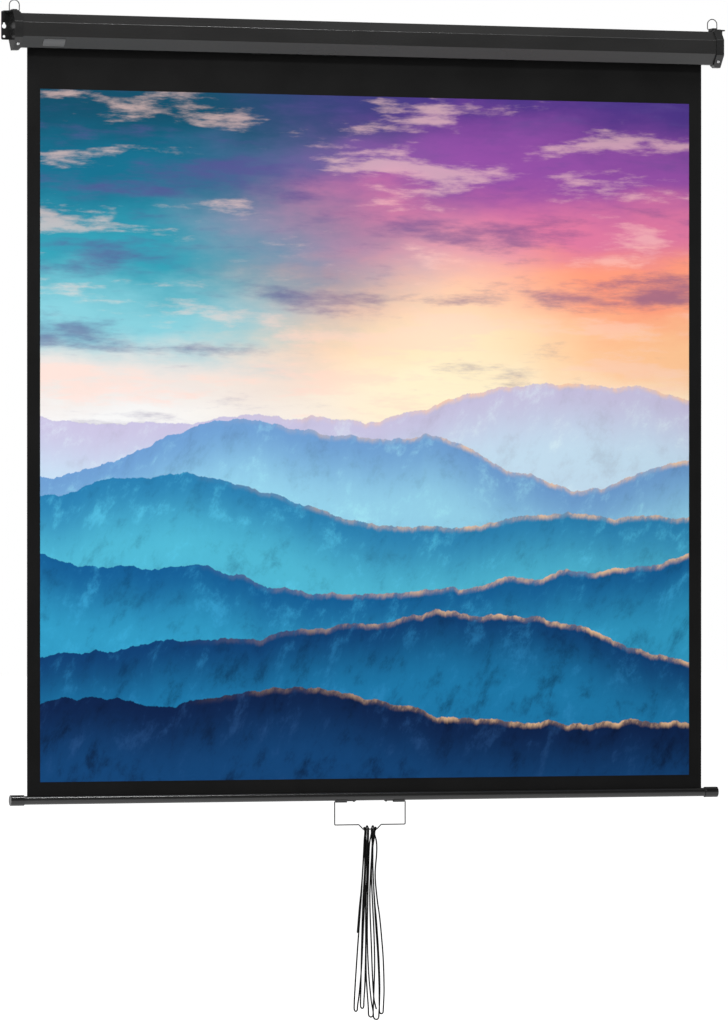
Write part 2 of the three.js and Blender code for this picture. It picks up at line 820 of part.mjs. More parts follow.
function pawlPin(side) {
  const y = rollerY + side * pawlCircle;
  const near = plugFace - pawlPinSeat + gap;
  const far = ratchetNear + ratchetThickness + gap;
  const head = pawlPinRadius + pawlPinHead;
  return turned([
    [0, 0], [pawlPinRadius, 0], [pawlPinRadius, far - near], [head, far - near],
    [head, far - near + pawlPinHead], [0, far - near + pawlPinHead],
  ], new THREE.Vector3(near, y, rollerDrop), new THREE.Vector3(1, 0, 0), 12);
}

// The hem rod hangs in the bar with its pocket of fabric drawn up against the slot
const barBore = barRadius - barWall;
const hemInner = hemRodRadius + gap;
const hemOuter = hemInner + fabricThickness;
const slotEdge = Math.sqrt(barBore ** 2 - (barSlot / 2) ** 2);
const hemCentre = barCentre + slotEdge - Math.sqrt((hemOuter + gap) ** 2 - (barSlot / 2) ** 2);

// The sheet, from where it leaves the roller to the pocket sewn round the hem rod
function screenFabric() {
  const half = fabricThickness / 2;
  const open = Math.asin(half / hemOuter);
  const shape = new THREE.Shape();
  shape.moveTo(fabricPlane - half, rollerDrop);
  shape.absarc(fabricPlane, hemCentre, hemOuter, Math.PI / 2 + open, Math.PI / 2 - open + 2 * Math.PI);
  shape.lineTo(fabricPlane + half, rollerDrop);
  shape.holes.push(new THREE.Path().absarc(fabricPlane, hemCentre, hemInner, 0, 2 * Math.PI));
  return alongX(shape, -halfFabric, halfFabric, 20);
}

function hemRod() {
  const half = halfFabric + rollerOverFabric;
  return rod(hemRodRadius, -half, half, fabricPlane, hemCentre, 16);
}

function bottomBar() {
  const half = halfLength - barCapWall - gap;
  const slot = (radius) => Math.asin(barSlot / 2 / radius);
  const shape = new THREE.Shape();
  const up = Math.PI / 2;
  shape.absarc(fabricPlane, barCentre, barRadius, up + slot(barRadius), up - slot(barRadius) + 2 * Math.PI);
  shape.absarc(fabricPlane, barCentre, barBore, up - slot(barBore), up + slot(barBore) - 2 * Math.PI, true);
  const tubeBody = solid(alongX(shape, -half, half, 28));
  const holes = [-1, 1].map((side) => clipScrewHole(side, barBottom - overrun, 2 * barWall + overrun));
  return surface(cut(tubeBody, ...holes));
}

function barCap() {
  const bore = barRadius + gap;
  const edge = Array.from({ length: arcSteps + 1 }, (_, i) => {
    const angle = (Math.PI / 2) * (i / arcSteps);
    return [
      barCapRadius - barCapEdge + barCapEdge * Math.cos(angle),
      barCapLength - barCapEdge + barCapEdge * Math.sin(angle),
    ];
  });
  const profile = [
    [0, barCapLength - barCapWall], [bore, barCapLength - barCapWall], [bore, 0],
    [barCapRadius - barCapEdge / 2, 0], [barCapRadius, barCapEdge / 2], ...edge, [0, barCapLength],
  ];
  const start = new THREE.Vector3(halfLength - barCapLength, fabricPlane, barCentre);
  return turned(profile, start, new THREE.Vector3(1, 0, 0), 28);
}

// The clips: saddles under the bar, pressed round the ends of the handle, each with a screwed tab
const clipOuterEnd = handleWidth / 2 - handleCorner;
const clipInnerEnd = clipOuterEnd - clipLength;
const clipScrewX = clipInnerEnd - clipTabScrew;
const saddleInner = barRadius + gap;
const saddleOuter = saddleInner + clipSheet;

function saddle(halfAngle, from, to) {
  const low = -Math.PI / 2;
  const half = (halfAngle * Math.PI) / 180;
  const shape = new THREE.Shape();
  shape.absarc(fabricPlane, barCentre, saddleOuter, low - half, low + half);
  shape.absarc(fabricPlane, barCentre, saddleInner, low + half, low - half, true);
  return solid(alongX(shape, from, to, 8));
}

function clipScrewHole(side, from, length) {
  const radius = clipScrewShank + gap;
  const profile = [[0, 0], [radius, 0], [radius, length], [0, length]];
  const place = new THREE.Vector3(side * clipScrewX, fabricPlane, from);
  return solid(turned(profile, place, new THREE.Vector3(0, 0, 1), 12));
}

function handleClip() {
  const channel = handleWire / 2 + gap;
  const start = clipInnerEnd - overrun;
  const end = clipOuterEnd + overrun;
  const barrel = solid(rod(channel + clipSheet, clipInnerEnd, clipOuterEnd, fabricPlane, handlePivot, 16));
  const bore = solid(rod(channel, start, end, fabricPlane, handlePivot, 12));
  const bar = solid(rod(saddleInner, start, end, fabricPlane, barCentre, 32));
  const body = join(
    saddle(clipWingAngle, clipInnerEnd, clipOuterEnd),
    barrel,
    saddle(clipTabAngle, clipInnerEnd - clipTabLength, clipInnerEnd + overrun),
  );
  const hole = clipScrewHole(1, barCentre - saddleOuter - clipSheet, 3 * clipSheet);
  return surface(cut(body, bore, bar, hole));
}

function clipScrew(side) {
  const seat = new THREE.Vector3(side * clipScrewX, fabricPlane, barCentre - saddleOuter - gap);
  const down = new THREE.Vector3(0, 0, -1);
  return screw(seat, down, clipScrewShank, clipScrewLength, clipScrewHeadRadius, clipScrewHeadHeight);
}

// The pull handle: one wire, its ends turned in under the clips and its middle dipped for the cord
function pullHandle() {
  const half = handleWidth / 2;
  const corner = (x, z) => new THREE.Vector3(x, fabricPlane, z);
  const sides = rounded([
    corner(-half + handlePivotEnd, handlePivot),
    corner(-half, handlePivot),
    corner(-half, handleFloor),
    corner(-dipWidth / 2, handleFloor),
  ], handleCorner);
  const dip = rounded([
    corner(-half + handlePivotEnd, handleFloor),
    corner(-dipWidth / 2, handleFloor),
    corner(-dipFloor / 2, dipLevel),
    corner(0, dipLevel),
  ], dipCorner);
  const left = [...sides.slice(0, -1), ...dip.slice(1)];
  const right = left.slice(0, -1).map((p) => corner(-p.x, p.z)).reverse();
  return tube([...left, ...right], handleWire);
}

// The cord hangs doubled over the dip in five long loops. Each of its ends takes a turn round the wire first.
// A place on it is how far it lies across from the middle of the handle, and how far it hangs below the dip.
const cordGap = 0.8;
const turnRadius = handleWire / 2 + gap + cordDiameter / 2;
const outerRadius = turnRadius + cordDiameter + cordGap;
const endTurnPitch = 5;
const endTurnStart = 10.2;
const endTurnRounds = 1.25;
const cordFirstEnd = [[-18.6, 29], [-20.6, 68], [-23, 108], [-27, 161], [-31.4, 200], [-37.8, 273]];
const cordLastEnd = [
  [15.6, 15], [9, 60], [5, 110], [2.5, 187], [7.1, 319], [10.2, 398], [14.3, 451], [20.7, 477],
];
const cordLoops = [
  {
    down: [[-10.3, 9], [-14, 40], [-19, 110], [-23.7, 187], [-29.5, 266], [-35.3, 345], [-40.6, 425]],
    foot: { across: -40.1, hang: 480, width: 5 },
    up: [[-33.1, 438], [-25.9, 359], [-22, 279], [-18, 187], [-15, 110], [-12, 40]],
    turn: { across: -8, radius: outerRadius },
  },
  {
    down: [[-10, 40], [-12, 110], [-16.5, 187], [-20.6, 319], [-22.6, 425]],
    foot: { across: -20.9, hang: 473, width: 5 },
    up: [[-15.4, 411], [-13.1, 306], [-12.6, 187], [-8.5, 110], [-6.5, 40]],
    turn: { across: -5.2, radius: turnRadius },
  },
  {
    down: [[-6, 40], [-6.5, 110], [-9.5, 187], [-10.1, 293], [-9.3, 385], [-6.8, 425]],
    foot: { across: 1.6, hang: 496, width: 9 },
    up: [[8.2, 425], [10.2, 359], [8.5, 280], [4, 187], [1, 110], [3.5, 40]],
    turn: { across: 8, radius: outerRadius },
  },
  {
    down: [[1.5, 40], [-1.2, 110], [-3.5, 187], [-4.5, 293], [-0.4, 385], [6, 451]],
    foot: { across: 17.9, hang: 503, width: 11 },
    up: [[25.1, 464], [26, 411], [22.9, 332], [16.5, 240], [11.5, 187], [7, 110], [6.5, 40]],
    turn: { across: 5.2, radius: turnRadius },
  },
  {
    down: [[8, 40], [9.5, 110], [13.5, 187], [16.5, 240], [23, 332], [26.5, 411], [27, 460]],
    foot: { across: 31.5, hang: 488, width: 8 },
    up: [
      [36.6, 460], [37.9, 425], [35.7, 345], [30.4, 279], [25, 227], [19, 187], [13.2, 120], [17.5, 60],
      [16.5, 32], [10.3, 9],
    ],
    turn: { across: endTurnStart, radius: turnRadius },
  },
];

const onCord = (across, depth, hang) => new THREE.Vector3(across, fabricPlane + depth, dipLevel - hang);

// A strand through its places, without the two at its ends. It is upright at both, but not at a free end.
function strand(places, depth, free = false) {
  const last = places.length - 1;
  const leans = places.map((place, i) => {
    if (i === 0 || (i === last && !free)) return 0;
    const before = places[i - 1];
    const after = places[Math.min(i + 1, last)];
    return (after[0] - before[0]) / (after[1] - before[1]);
  });
  const points = [];
  for (let i = 0; i < last; i += 1) {
    const [acrossHere, hangHere] = places[i];
    const [acrossNext, hangNext] = places[i + 1];
    const span = hangNext - hangHere;
    for (let step = i ? 0 : 1; step < strandSteps; step += 1) {
      const share = step / strandSteps;
      const rest = 1 - share;
      const across = (1 + 2 * share) * rest * rest * acrossHere + share * rest * rest * span * leans[i]
        + share * share * (1 + 2 * rest) * acrossNext - share * share * rest * span * leans[i + 1];
      points.push(onCord(across, depth, hangHere + span * share));
    }
  }
  return points;
}

// Over the dip of the handle from the front to the back, close to the wire or over the turns that are
function overHandle({ across, radius }) {
  return Array.from({ length: turnSteps + 1 }, (_, step) => {
    const angle = (Math.PI * step) / turnSteps;
    return onCord(across, -radius * Math.cos(angle), -radius * Math.sin(angle));
  });
}

// The foot of a loop: the cord turns up from the depth that it came down at to the depth of its next turn
function loopFoot({ across, hang, width }, behind, ahead) {
  const middle = (behind - ahead) / 2;
  const half = (behind + ahead) / 2;
  const radius = Math.hypot(width / 2, half);
  return Array.from({ length: footSteps + 1 }, (_, step) => {
    const angle = (Math.PI * step) / footSteps;
    return onCord(
      across - (width / 2) * Math.cos(angle),
      middle + half * Math.cos(angle),
      hang - radius + radius * Math.sin(angle),
    );
  });
}

// The turn that the last end takes round the wire: on from the front, once round, over and down behind
function endTurn() {
  const rounds = endTurnRounds + 1 / 4;
  const steps = rounds * 2 * turnSteps;
  return Array.from({ length: steps + 1 }, (_, step) => {
    const round = (rounds * step) / steps;
    const leaving = Math.max(0, round - endTurnRounds) * 4;
    const radius = turnRadius + (outerRadius - turnRadius) * leaving;
    const angle = 2 * Math.PI * round;
    const across = endTurnStart + endTurnPitch * Math.min(round, endTurnRounds);
    return onCord(across, -radius * Math.cos(angle), -radius * Math.sin(angle));
  });
}

function cordRoute() {
  const lastTurn = endTurn();
  const firstTurn = lastTurn.map((p) => new THREE.Vector3(-p.x, 2 * fabricPlane - p.y, p.z)).reverse();
  const leave = endTurnStart + endTurnPitch * endTurnRounds;
  const route = [...strand([[-leave, 0], ...cordFirstEnd], -outerRadius, true), onCord(
    cordFirstEnd.at(-1)[0], -outerRadius, cordFirstEnd.at(-1)[1],
  )].reverse();
  route.push(...firstTurn);
  let from = { across: -endTurnStart, radius: turnRadius };
  for (const { down, foot, up, turn } of cordLoops) {
    const bend = loopFoot(foot, from.radius, turn.radius);
    const low = dipLevel - bend[0].z;
    const half = foot.width / 2;
    route.push(...strand([[from.across, 0], ...down, [foot.across - half, low]], from.radius), ...bend);
    route.push(...strand([[foot.across + half, low], ...up, [turn.across, 0]], -turn.radius));
    if (turn.across !== endTurnStart) route.push(...overHandle(turn));
    from = turn;
  }
  route.push(...lastTurn, ...strand([[leave, 0], ...cordLastEnd], outerRadius, true));
  route.push(onCord(cordLastEnd.at(-1)[0], outerRadius, cordLastEnd.at(-1)[1]));
  return route;
}

// The least clear space between two stretches of the cord that aren't neighbours along it
function leastCordGap(route) {
  const curve = new Route(route);
  const fine = Array.from({ length: routeSamples }, (_, i) => curve.getPoint(i / (routeSamples - 1)));
  let run = 0;
  const along = fine.map((p, i) => {
    run += i ? p.distanceTo(fine[i - 1]) : 0;
    return run;
  });
  let least = Infinity;
  fine.forEach((a, i) => {
    for (let j = i + 1; j < fine.length; j += 1) {
      if (along[j] - along[i] > 3 * cordDiameter) least = Math.min(least, a.distanceTo(fine[j]));
    }
  });
  return { least: least - cordDiameter, length: run };
}

function pullCord() {
  const route = cordRoute();
  const { least, length } = leastCordGap(route);
  console.log(`pull_cord: ${length.toFixed(0)} mm long, least gap to itself ${least.toFixed(2)} mm`);
  return tube(route, cordDiameter, 6);
}

// Finishes
const finish = (name, color, roughness, metalness) => {
  const material = new THREE.MeshStandardMaterial({ color, roughness, metalness });
  material.name = name;
  return material;
};
const blackPaint = () => finish("black_paint", 0x2e2e2e, 0.45, 0.2);
const glossyPlastic = () => finish("glossy_black_plastic", 0x1c1c1c, 0.2, 0);
const brightSteel = () => finish("bright_steel", 0xc4c4c4, 0.3, 1);
const greyWire = () => finish("grey_wire", 0x5a5a5a, 0.35, 1);
const blackCloth = () => finish("black_bordered_cloth", 0x1a1a1a, 0.9, 0);
const whitePlastic = () => finish("white_plastic", 0xdedcd6, 0.5, 0);
const plateMetal = () => finish("plate_metal", 0x666666, 0.4, 0.8);
const blackCord = () => finish("black_cord", 0x101010, 0.95, 0);

const screen = new THREE.Group();

function add(name, geometry, material) {
  const mesh = new THREE.Mesh(geometry, material);
  mesh.name = name;
  screen.add(mesh);
}

add("housing", housing(), blackPaint());
add("end_cap_left", mirrored(endCap(bushSeat())), glossyPlastic());
add("end_cap_right", endCap(bladeSeat()), glossyPlastic());
add("cap_screw_left", capScrew(-1), brightSteel());
add("cap_screw_right", capScrew(1), brightSteel());
add("hanger_ring_left", mirrored(hangerRing()), brightSteel());
add("hanger_ring_right", hangerRing(), brightSteel());
add("badge_plate", badgePlate(), plateMetal());
add("roller_tube", rollerTube(), brightSteel());
add("fabric_wraps", fabricWraps(), blackCloth());
add("idler_plug", idlerPlug(), whitePlastic());
add("idler_pin", idlerPin(), brightSteel());
add("idler_bush", idlerBush(), whitePlastic());
add("drive_plug", drivePlug(), whitePlastic());
add("spring_shaft", springShaft(), brightSteel());
add("spring_arbor", springArbor(), whitePlastic());
add("torsion_spring", torsionSpring(), greyWire());
add("ratchet_wheel", ratchetWheel(), brightSteel());
add("pawl_front", pawl(1), brightSteel());
add("pawl_rear", pawl(0), brightSteel());
add("pawl_pin_front", pawlPin(-1), greyWire());
add("pawl_pin_rear", pawlPin(1), greyWire());
add("screen_fabric", screenFabric(), blackCloth());
add("hem_rod", hemRod(), greyWire());
add("bottom_bar", bottomBar(), blackPaint());
add("bar_cap_left", mirrored(barCap()), glossyPlastic());
add("bar_cap_right", barCap(), glossyPlastic());
add("handle_clip_left", mirrored(handleClip()), blackPaint());
add("handle_clip_right", handleClip(), blackPaint());
add("clip_screw_left", clipScrew(-1), blackPaint());
add("clip_screw_right", clipScrew(1), blackPaint());
add("pull_handle", pullHandle(), greyWire());
add("pull_cord", pullCord(), blackCord());

export default screen;
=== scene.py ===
import json
import math

import bpy
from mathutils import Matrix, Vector

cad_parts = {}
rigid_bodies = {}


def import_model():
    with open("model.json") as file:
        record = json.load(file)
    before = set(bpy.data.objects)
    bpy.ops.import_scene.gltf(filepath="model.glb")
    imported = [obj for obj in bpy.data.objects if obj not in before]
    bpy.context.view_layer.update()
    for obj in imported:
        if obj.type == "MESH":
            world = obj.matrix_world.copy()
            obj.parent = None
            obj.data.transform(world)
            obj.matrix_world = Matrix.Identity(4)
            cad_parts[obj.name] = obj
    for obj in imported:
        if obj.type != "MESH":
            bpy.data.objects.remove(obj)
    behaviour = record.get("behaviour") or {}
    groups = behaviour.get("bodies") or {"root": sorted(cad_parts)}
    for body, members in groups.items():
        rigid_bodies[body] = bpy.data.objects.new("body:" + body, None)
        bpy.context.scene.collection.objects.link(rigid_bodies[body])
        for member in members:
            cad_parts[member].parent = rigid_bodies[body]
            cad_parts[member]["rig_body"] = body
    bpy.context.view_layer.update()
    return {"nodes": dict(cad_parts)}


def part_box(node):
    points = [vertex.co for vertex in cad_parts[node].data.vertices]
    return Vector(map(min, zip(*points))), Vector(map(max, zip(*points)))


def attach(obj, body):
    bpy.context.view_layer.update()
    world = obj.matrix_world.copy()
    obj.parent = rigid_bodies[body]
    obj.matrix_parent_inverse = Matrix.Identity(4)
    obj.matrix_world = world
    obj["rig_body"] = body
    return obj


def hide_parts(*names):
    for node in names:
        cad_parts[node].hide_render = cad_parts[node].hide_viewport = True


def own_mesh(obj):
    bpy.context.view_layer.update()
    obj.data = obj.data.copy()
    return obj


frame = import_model()

# The photograph's frame and camera. The sensor's width lies along the longer side of the frame, its height.
PHOTO_HEIGHT = 1020
FOCAL_PIXELS = 6297
HORIZON_ROW = 553
CAMERA_YAW = math.radians(17.95)
CAMERA_PLACE = Vector((-5.136, -15.818, -1.3756))
CAMERA_REACH = 100
SENSOR_MM = 36

SIDES = ("left", "right")

# Places and sizes that the frame gives
CASE_LOW, CASE_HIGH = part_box("housing")
CAP_LOW, CAP_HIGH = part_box("end_cap_left")
SHEET_LOW, SHEET_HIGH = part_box("screen_fabric")
WRAPS_LOW, WRAPS_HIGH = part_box("fabric_wraps")
BAR_LOW, BAR_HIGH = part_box("bottom_bar")
BAR_CAP_LOW, BAR_CAP_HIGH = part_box("bar_cap_left")
HEM_LOW, HEM_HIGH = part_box("hem_rod")
HANDLE_LOW, HANDLE_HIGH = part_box("pull_handle")
CORD_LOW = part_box("pull_cord")[0]

# The sheet and its picture, in metres
SHEET_WIDTH = SHEET_HIGH.x - SHEET_LOW.x
SHEET_THICKNESS = 0.0004
PICTURE_WIDTH = 1.8
PICTURE_HEIGHT = 1.8
BOTTOM_BORDER = 0.035
SHEET_PLANE = -0.015
WRAP_TURNS = 3
WRAP_PITCH = 0.00045
CLEARANCE = 0.0003

# The top of the foot of the sheet, where the picture ends
FOOT_TOP = BAR_HIGH.z + BOTTOM_BORDER

# The front fold of the case, below the top of the case, and that of its caps, below the top of their bosses,
# where a paler line of wear and painted highlight runs
CASE_FOLD = 0.025
CAP_FOLD = 0.0343

# The bar and its handle
BAR_CENTRE = (BAR_LOW.z + BAR_HIGH.z) / 2
BAR_RADIUS = (BAR_HIGH.z - BAR_LOW.z) / 2
BAR_WALL = 0.0012
BAR_SLOT = 0.003
BAR_CAP_RADIUS = (BAR_CAP_HIGH.z - BAR_CAP_LOW.z) / 2
BAR_CAP_LENGTH = BAR_CAP_HIGH.x - BAR_CAP_LOW.x
BAR_CAP_WALL = 0.003
HANDLE_WIRE = 0.003
HANDLE_CORNER = 0.0026
HANDLE_PIVOT_END = 0.028
HANDLE_DROP = 0.0617
DIP_WIDTH = 0.062
DIP_FLOOR = 0.038
DIP_LEVEL = HANDLE_LOW.z + HANDLE_WIRE / 2

# The cord. A place on it is how far it lies across from the middle of the handle and how far below its dip,
# in millimetres. A loop goes down behind the wire, round its foot and up in front, then over the wire at its
# turn, close to it or over other turns. The last loop has no turn and ends in that of the cord's last end.
CORD_DIAMETER = 0.004
CORD_GAP = 0.0008
TURN_RADIUS = HANDLE_WIRE / 2 + CLEARANCE + CORD_DIAMETER / 2
OUTER_RADIUS = TURN_RADIUS + CORD_DIAMETER + CORD_GAP
END_TURN_PITCH = 0.005
END_TURN_START = 0.0102
END_TURN_ROUNDS = 1.25
END_TURN_LEAVING = 0.25
CORD_SPACING = 0.0012
CORD_EASING = 3
CORD_FIRST_END = [(-18.6, 29), (-20.6, 68), (-23, 108), (-27, 161), (-31.4, 200), (-37.8, 273)]
CORD_LAST_END = [(15.6, 15), (9, 60), (5, 110), (2.5, 187), (7.1, 319), (10.2, 398), (14.3, 451), (20.7, 477)]
CORD_LOOPS = [
    {
        "down": [(-10.3, 9), (-14, 40), (-19, 110), (-23.7, 187), (-29.5, 266), (-35.3, 345), (-40.6, 425)],
        "foot": (-40.1, 480), "width": 5,
        "up": [(-33.1, 438), (-25.9, 359), (-22, 279), (-18, 187), (-15, 110), (-12, 40)],
        "turn": -8, "radius": OUTER_RADIUS,
    },
    {
        "down": [(-10, 40), (-12, 110), (-16.5, 187), (-20.6, 319), (-22.6, 425)],
        "foot": (-20.9, 473), "width": 5,
        "up": [(-15.4, 411), (-13.1, 306), (-12.6, 187), (-8.5, 110), (-6.5, 40)],
        "turn": -5.2, "radius": TURN_RADIUS,
    },
    {
        "down": [(-6, 40), (-6.5, 110), (-9.5, 187), (-10.1, 293), (-9.3, 385), (-6.8, 425)],
        "foot": (1.6, 496), "width": 9,
        "up": [(8.2, 425), (10.2, 359), (8.5, 280), (4, 187), (1, 110), (3.5, 40)],
        "turn": 8, "radius": OUTER_RADIUS,
    },
    {
        "down": [(1.5, 40), (-1.2, 110), (-3.5, 187), (-4.5, 293), (-0.4, 385), (6, 451)],
        "foot": (17.9, 503), "width": 11,
        "up": [(25.1, 464), (26, 411), (22.9, 332), (16.5, 240), (11.5, 187), (7, 110), (6.5, 40)],
        "turn": 5.2, "radius": TURN_RADIUS,
    },
    {
        "down": [(8, 40), (9.5, 110), (13.5, 187), (16.5, 240), (23, 332), (26.5, 411), (27, 460)],
        "foot": (31.5, 488), "width": 8,
        "up": [(36.6, 460), (37.9, 425), (35.7, 345), (30.4, 279), (25, 227), (19, 187), (13.2, 120),
               (17.5, 60), (16.5, 32), (10.3, 9)],
        "turn": None, "radius": TURN_RADIUS,
    },
]


def make_camera():
    """The photograph's camera: level, turned to the right, with the horizon a little below the middle."""
    data = bpy.data.cameras.new("camera")
    data.sensor_width = SENSOR_MM
    data.lens = SENSOR_MM * FOCAL_PIXELS / PHOTO_HEIGHT
    data.shift_y = (HORIZON_ROW - PHOTO_HEIGHT / 2) / PHOTO_HEIGHT
    data.clip_end = CAMERA_REACH
    camera = bpy.data.objects.new("camera", data)
    camera.location = CAMERA_PLACE
    camera.rotation_euler = (math.pi / 2, 0, -CAMERA_YAW)
    bpy.context.scene.collection.objects.link(camera)
    bpy.context.scene.camera = camera


# Working with meshes. Points merge within a distance, faces are joined within an angle, edges are broken from
# an angle on, and shading is smooth within one. A tube's end stands out by a share of its radius. A face
# looks a given way, or the same way as another, when that much of its normal lies along it.

MERGE_WITHIN = 1e-6
FLAT_WITHIN = math.radians(0.5)
SHARP_ON_SOLIDS = math.radians(38)
SHARP_ON_ROUNDS = math.radians(50)
SMOOTH_WITHIN = math.radians(35)
SMOOTH_ON_PLATE = math.radians(25)
SMOOTH_ON_CLOTH = math.radians(40)
BLUNT_SHARE = 0.6
WIRE_SIDES = 16
FACING = 0.9
SAME_WAY = 0.999


def select_only(piece):
    """Leaves whatever was open and selects one piece."""
    if bpy.context.object and bpy.context.object.mode != "OBJECT":
        bpy.ops.object.mode_set(mode="OBJECT")
    bpy.ops.object.select_all(action="DESELECT")
    piece.select_set(True)
    bpy.context.view_layer.objects.active = piece


def edit(piece):
    """Opens a piece for editing with nothing selected."""
    select_only(piece)
    bpy.ops.object.mode_set(mode="EDIT")
    bpy.ops.mesh.select_all(action="DESELECT")


def pick_faces(piece, wanted):
    """Selects the faces that a test picks, in edit mode."""
    bpy.ops.object.mode_set(mode="OBJECT")
    bpy.context.tool_settings.mesh_select_mode = (False, False, True)
    for face in piece.data.polygons:
        face.select = bool(wanted(face))
    bpy.ops.object.mode_set(mode="EDIT")


def close_edit():
    bpy.ops.object.mode_set(mode="OBJECT")


def added(name):
    """The primitive that was just added, under its own name, with its place in its mesh."""
    piece = bpy.context.object
    piece.name = name
    bpy.ops.object.transform_apply(location=True, rotation=True, scale=True)
    return piece


def finish_with(piece, kind, **settings):
    """Adds one modifier and applies it."""
    select_only(piece)
    modifier = piece.modifiers.new(kind, kind)
    for key, value in settings.items():
        setattr(modifier, key, value)
    bpy.ops.object.modifier_apply(modifier=modifier.name)


def shade(piece, within=SMOOTH_WITHIN):
    """Smooth shading that stops at the sharper edges and favours the larger faces."""
    select_only(piece)
    bpy.ops.object.shade_smooth_by_angle(angle=within)
    finish_with(piece, "WEIGHTED_NORMAL", keep_sharp=True)


def fine_copy(node, name, edge):
    """A copy of a solid with its triangles joined into faces and its sharp edges broken."""
    piece = bpy.data.objects.new(name, frame["nodes"][node].data.copy())
    bpy.context.scene.collection.objects.link(piece)
    edit(piece)
    bpy.ops.mesh.select_all(action="SELECT")
    bpy.ops.mesh.remove_doubles(threshold=MERGE_WITHIN)
    bpy.ops.mesh.dissolve_limited(angle_limit=FLAT_WITHIN)
    close_edit()
    finish_with(piece, "BEVEL", width=edge, segments=2, limit_method="ANGLE",
                angle_limit=SHARP_ON_SOLIDS, use_clamp_overlap=True)
    shade(piece)
    return piece


def stands_for(piece, node, finish):
    """Gives a piece its finish and the body of the solid that it stands for, and hides that solid."""
    piece.data.materials.clear()
    piece.data.materials.append(finish)
    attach(piece, frame["nodes"][node]["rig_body"])
    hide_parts(node)


def mapped_piece(name, points, faces, map_name, corners):
    """A piece from its points and faces, with a map that gives each corner of each face a place."""
    mesh = bpy.data.meshes.new(name)
    mesh.from_pydata(points, [], faces)
    layer = mesh.uv_layers.new(name=map_name)
    for i, corner in enumerate(corners):
        layer.data[i].uv = corner
    piece = bpy.data.objects.new(name, mesh)
    bpy.context.scene.collection.objects.link(piece)
    return piece


def tube(name, path, radius, sides=12, blunt=3):
    """A round tube along a path, with rounded ends and a map of its girth and length in metres."""
    count = len(path)
    tangents = []
    for i in range(count):
        ahead = path[min(i + 1, count - 1)] - path[max(i - 1, 0)]
        tangents.append(ahead.normalized())
    across = tangents[0].orthogonal().normalized()
    rings = []
    for i in range(count):
        if i:
            across = tangents[i - 1].rotation_difference(tangents[i]) @ across
            across = (across - tangents[i] * across.dot(tangents[i])).normalized()
        rings.append((path[i], across.copy(), tangents[i], radius))
    caps = []
    for step in range(1, blunt + 1):
        angle = math.pi / 2 * step / (blunt + 1)
        caps.append((math.sin(angle) * radius * BLUNT_SHARE, math.cos(angle) * radius))
    first, last = rings[0], rings[-1]
    before = [(first[0] - first[2] * far, first[1], first[2], near) for far, near in reversed(caps)]
    after = [(last[0] + last[2] * far, last[1], last[2], near) for far, near in caps]
    rings = before + rings + after

    points, faces, corners = [], [], []
    run = 0.0
    runs = []
    for i, (centre, side, tangent, size) in enumerate(rings):
        up = tangent.cross(side)
        run += (centre - rings[i - 1][0]).length if i else 0.0
        runs.append(run)
        for k in range(sides):
            angle = 2 * math.pi * k / sides
            points.append(centre + (side * math.cos(angle) + up * math.sin(angle)) * size)
    facet = 2 * math.pi * radius / sides
    for i in range(len(rings) - 1):
        for k in range(sides):
            low, high = i * sides, (i + 1) * sides
            turn = (k + 1) % sides
            faces.append((low + k, low + turn, high + turn, high + k))
            corners += [(k * facet, runs[i]), ((k + 1) * facet, runs[i]),
                        ((k + 1) * facet, runs[i + 1]), (k * facet, runs[i + 1])]
    faces.append(tuple(reversed(range(sides))))
    faces.append(tuple(range((len(rings) - 1) * sides, len(rings) * sides)))
    corners += [(0.0, 0.0)] * sides + [(0.0, run)] * sides

    piece = mapped_piece(name, points, faces, "run", corners)
    select_only(piece)
    bpy.ops.object.shade_smooth()
    return piece


def rounded(corners, radius, steps=6):
    """The points of a line whose corners are turned with arcs of one radius."""
    line = [corners[0].copy()]
    for before, corner, following in zip(corners, corners[1:], corners[2:]):
        back = (before - corner).normalized()
        ahead = (following - corner).normalized()
        half = back.angle(ahead) / 2
        centre = corner + (back + ahead).normalized() * radius / math.sin(half)
        start = corner + back * radius / math.tan(half) - centre
        end = corner + ahead * radius / math.tan(half) - centre
        for step in range(steps + 1):
            line.append(centre + start.slerp(end, step / steps).normalized() * radius)
    line.append(corners[-1].copy())
    return line


# The cord

def on_cord(across, depth, hang):
    """A place in metres: across from the middle of the handle, behind its wire and below its dip."""
    return Vector((across, SHEET_PLANE + depth, DIP_LEVEL - hang))


def strand(places, depth, free=False, steps=10):
    """A strand between its first place and its last, upright at both unless the last hangs free."""
    last = len(places) - 1
    leans = []
    for i in range(last + 1):
        if i == 0 or (i == last and not free):
            leans.append(0.0)
        else:
            before, after = places[i - 1], places[min(i + 1, last)]
            leans.append((after[0] - before[0]) / (after[1] - before[1]))
    line = []
    for i in range(last):
        (across_here, hang_here), (across_next, hang_next) = places[i], places[i + 1]
        span = hang_next - hang_here
        for step in range(0 if i else 1, steps):
            share = step / steps
            rest = 1 - share
            across = (
                (1 + 2 * share) * rest * rest * across_here + share * rest * rest * span * leans[i]
                + share * share * (1 + 2 * rest) * across_next - share * share * rest * span * leans[i + 1]
            )
            line.append(on_cord(across, depth, hang_here + span * share))
    return line


def over_handle(across, radius, steps=14):
    """Over the dip of the handle from the front to the back, close to the wire or over the turns that are."""
    angles = [math.pi * step / steps for step in range(steps + 1)]
    return [on_cord(across, -radius * math.cos(a), -radius * math.sin(a)) for a in angles]


def loop_foot(place, width, behind, ahead, steps=18):
    """The foot of a loop, where the cord turns up to the depth of its next turn."""
    middle, half = (behind - ahead) / 2, (behind + ahead) / 2
    radius = math.hypot(width / 2, half)
    line = []
    for step in range(steps + 1):
        angle = math.pi * step / steps
        line.append(on_cord(place[0] - width / 2 * math.cos(angle), middle + half * math.cos(angle),
                            place[1] - radius + radius * math.sin(angle)))
    return line


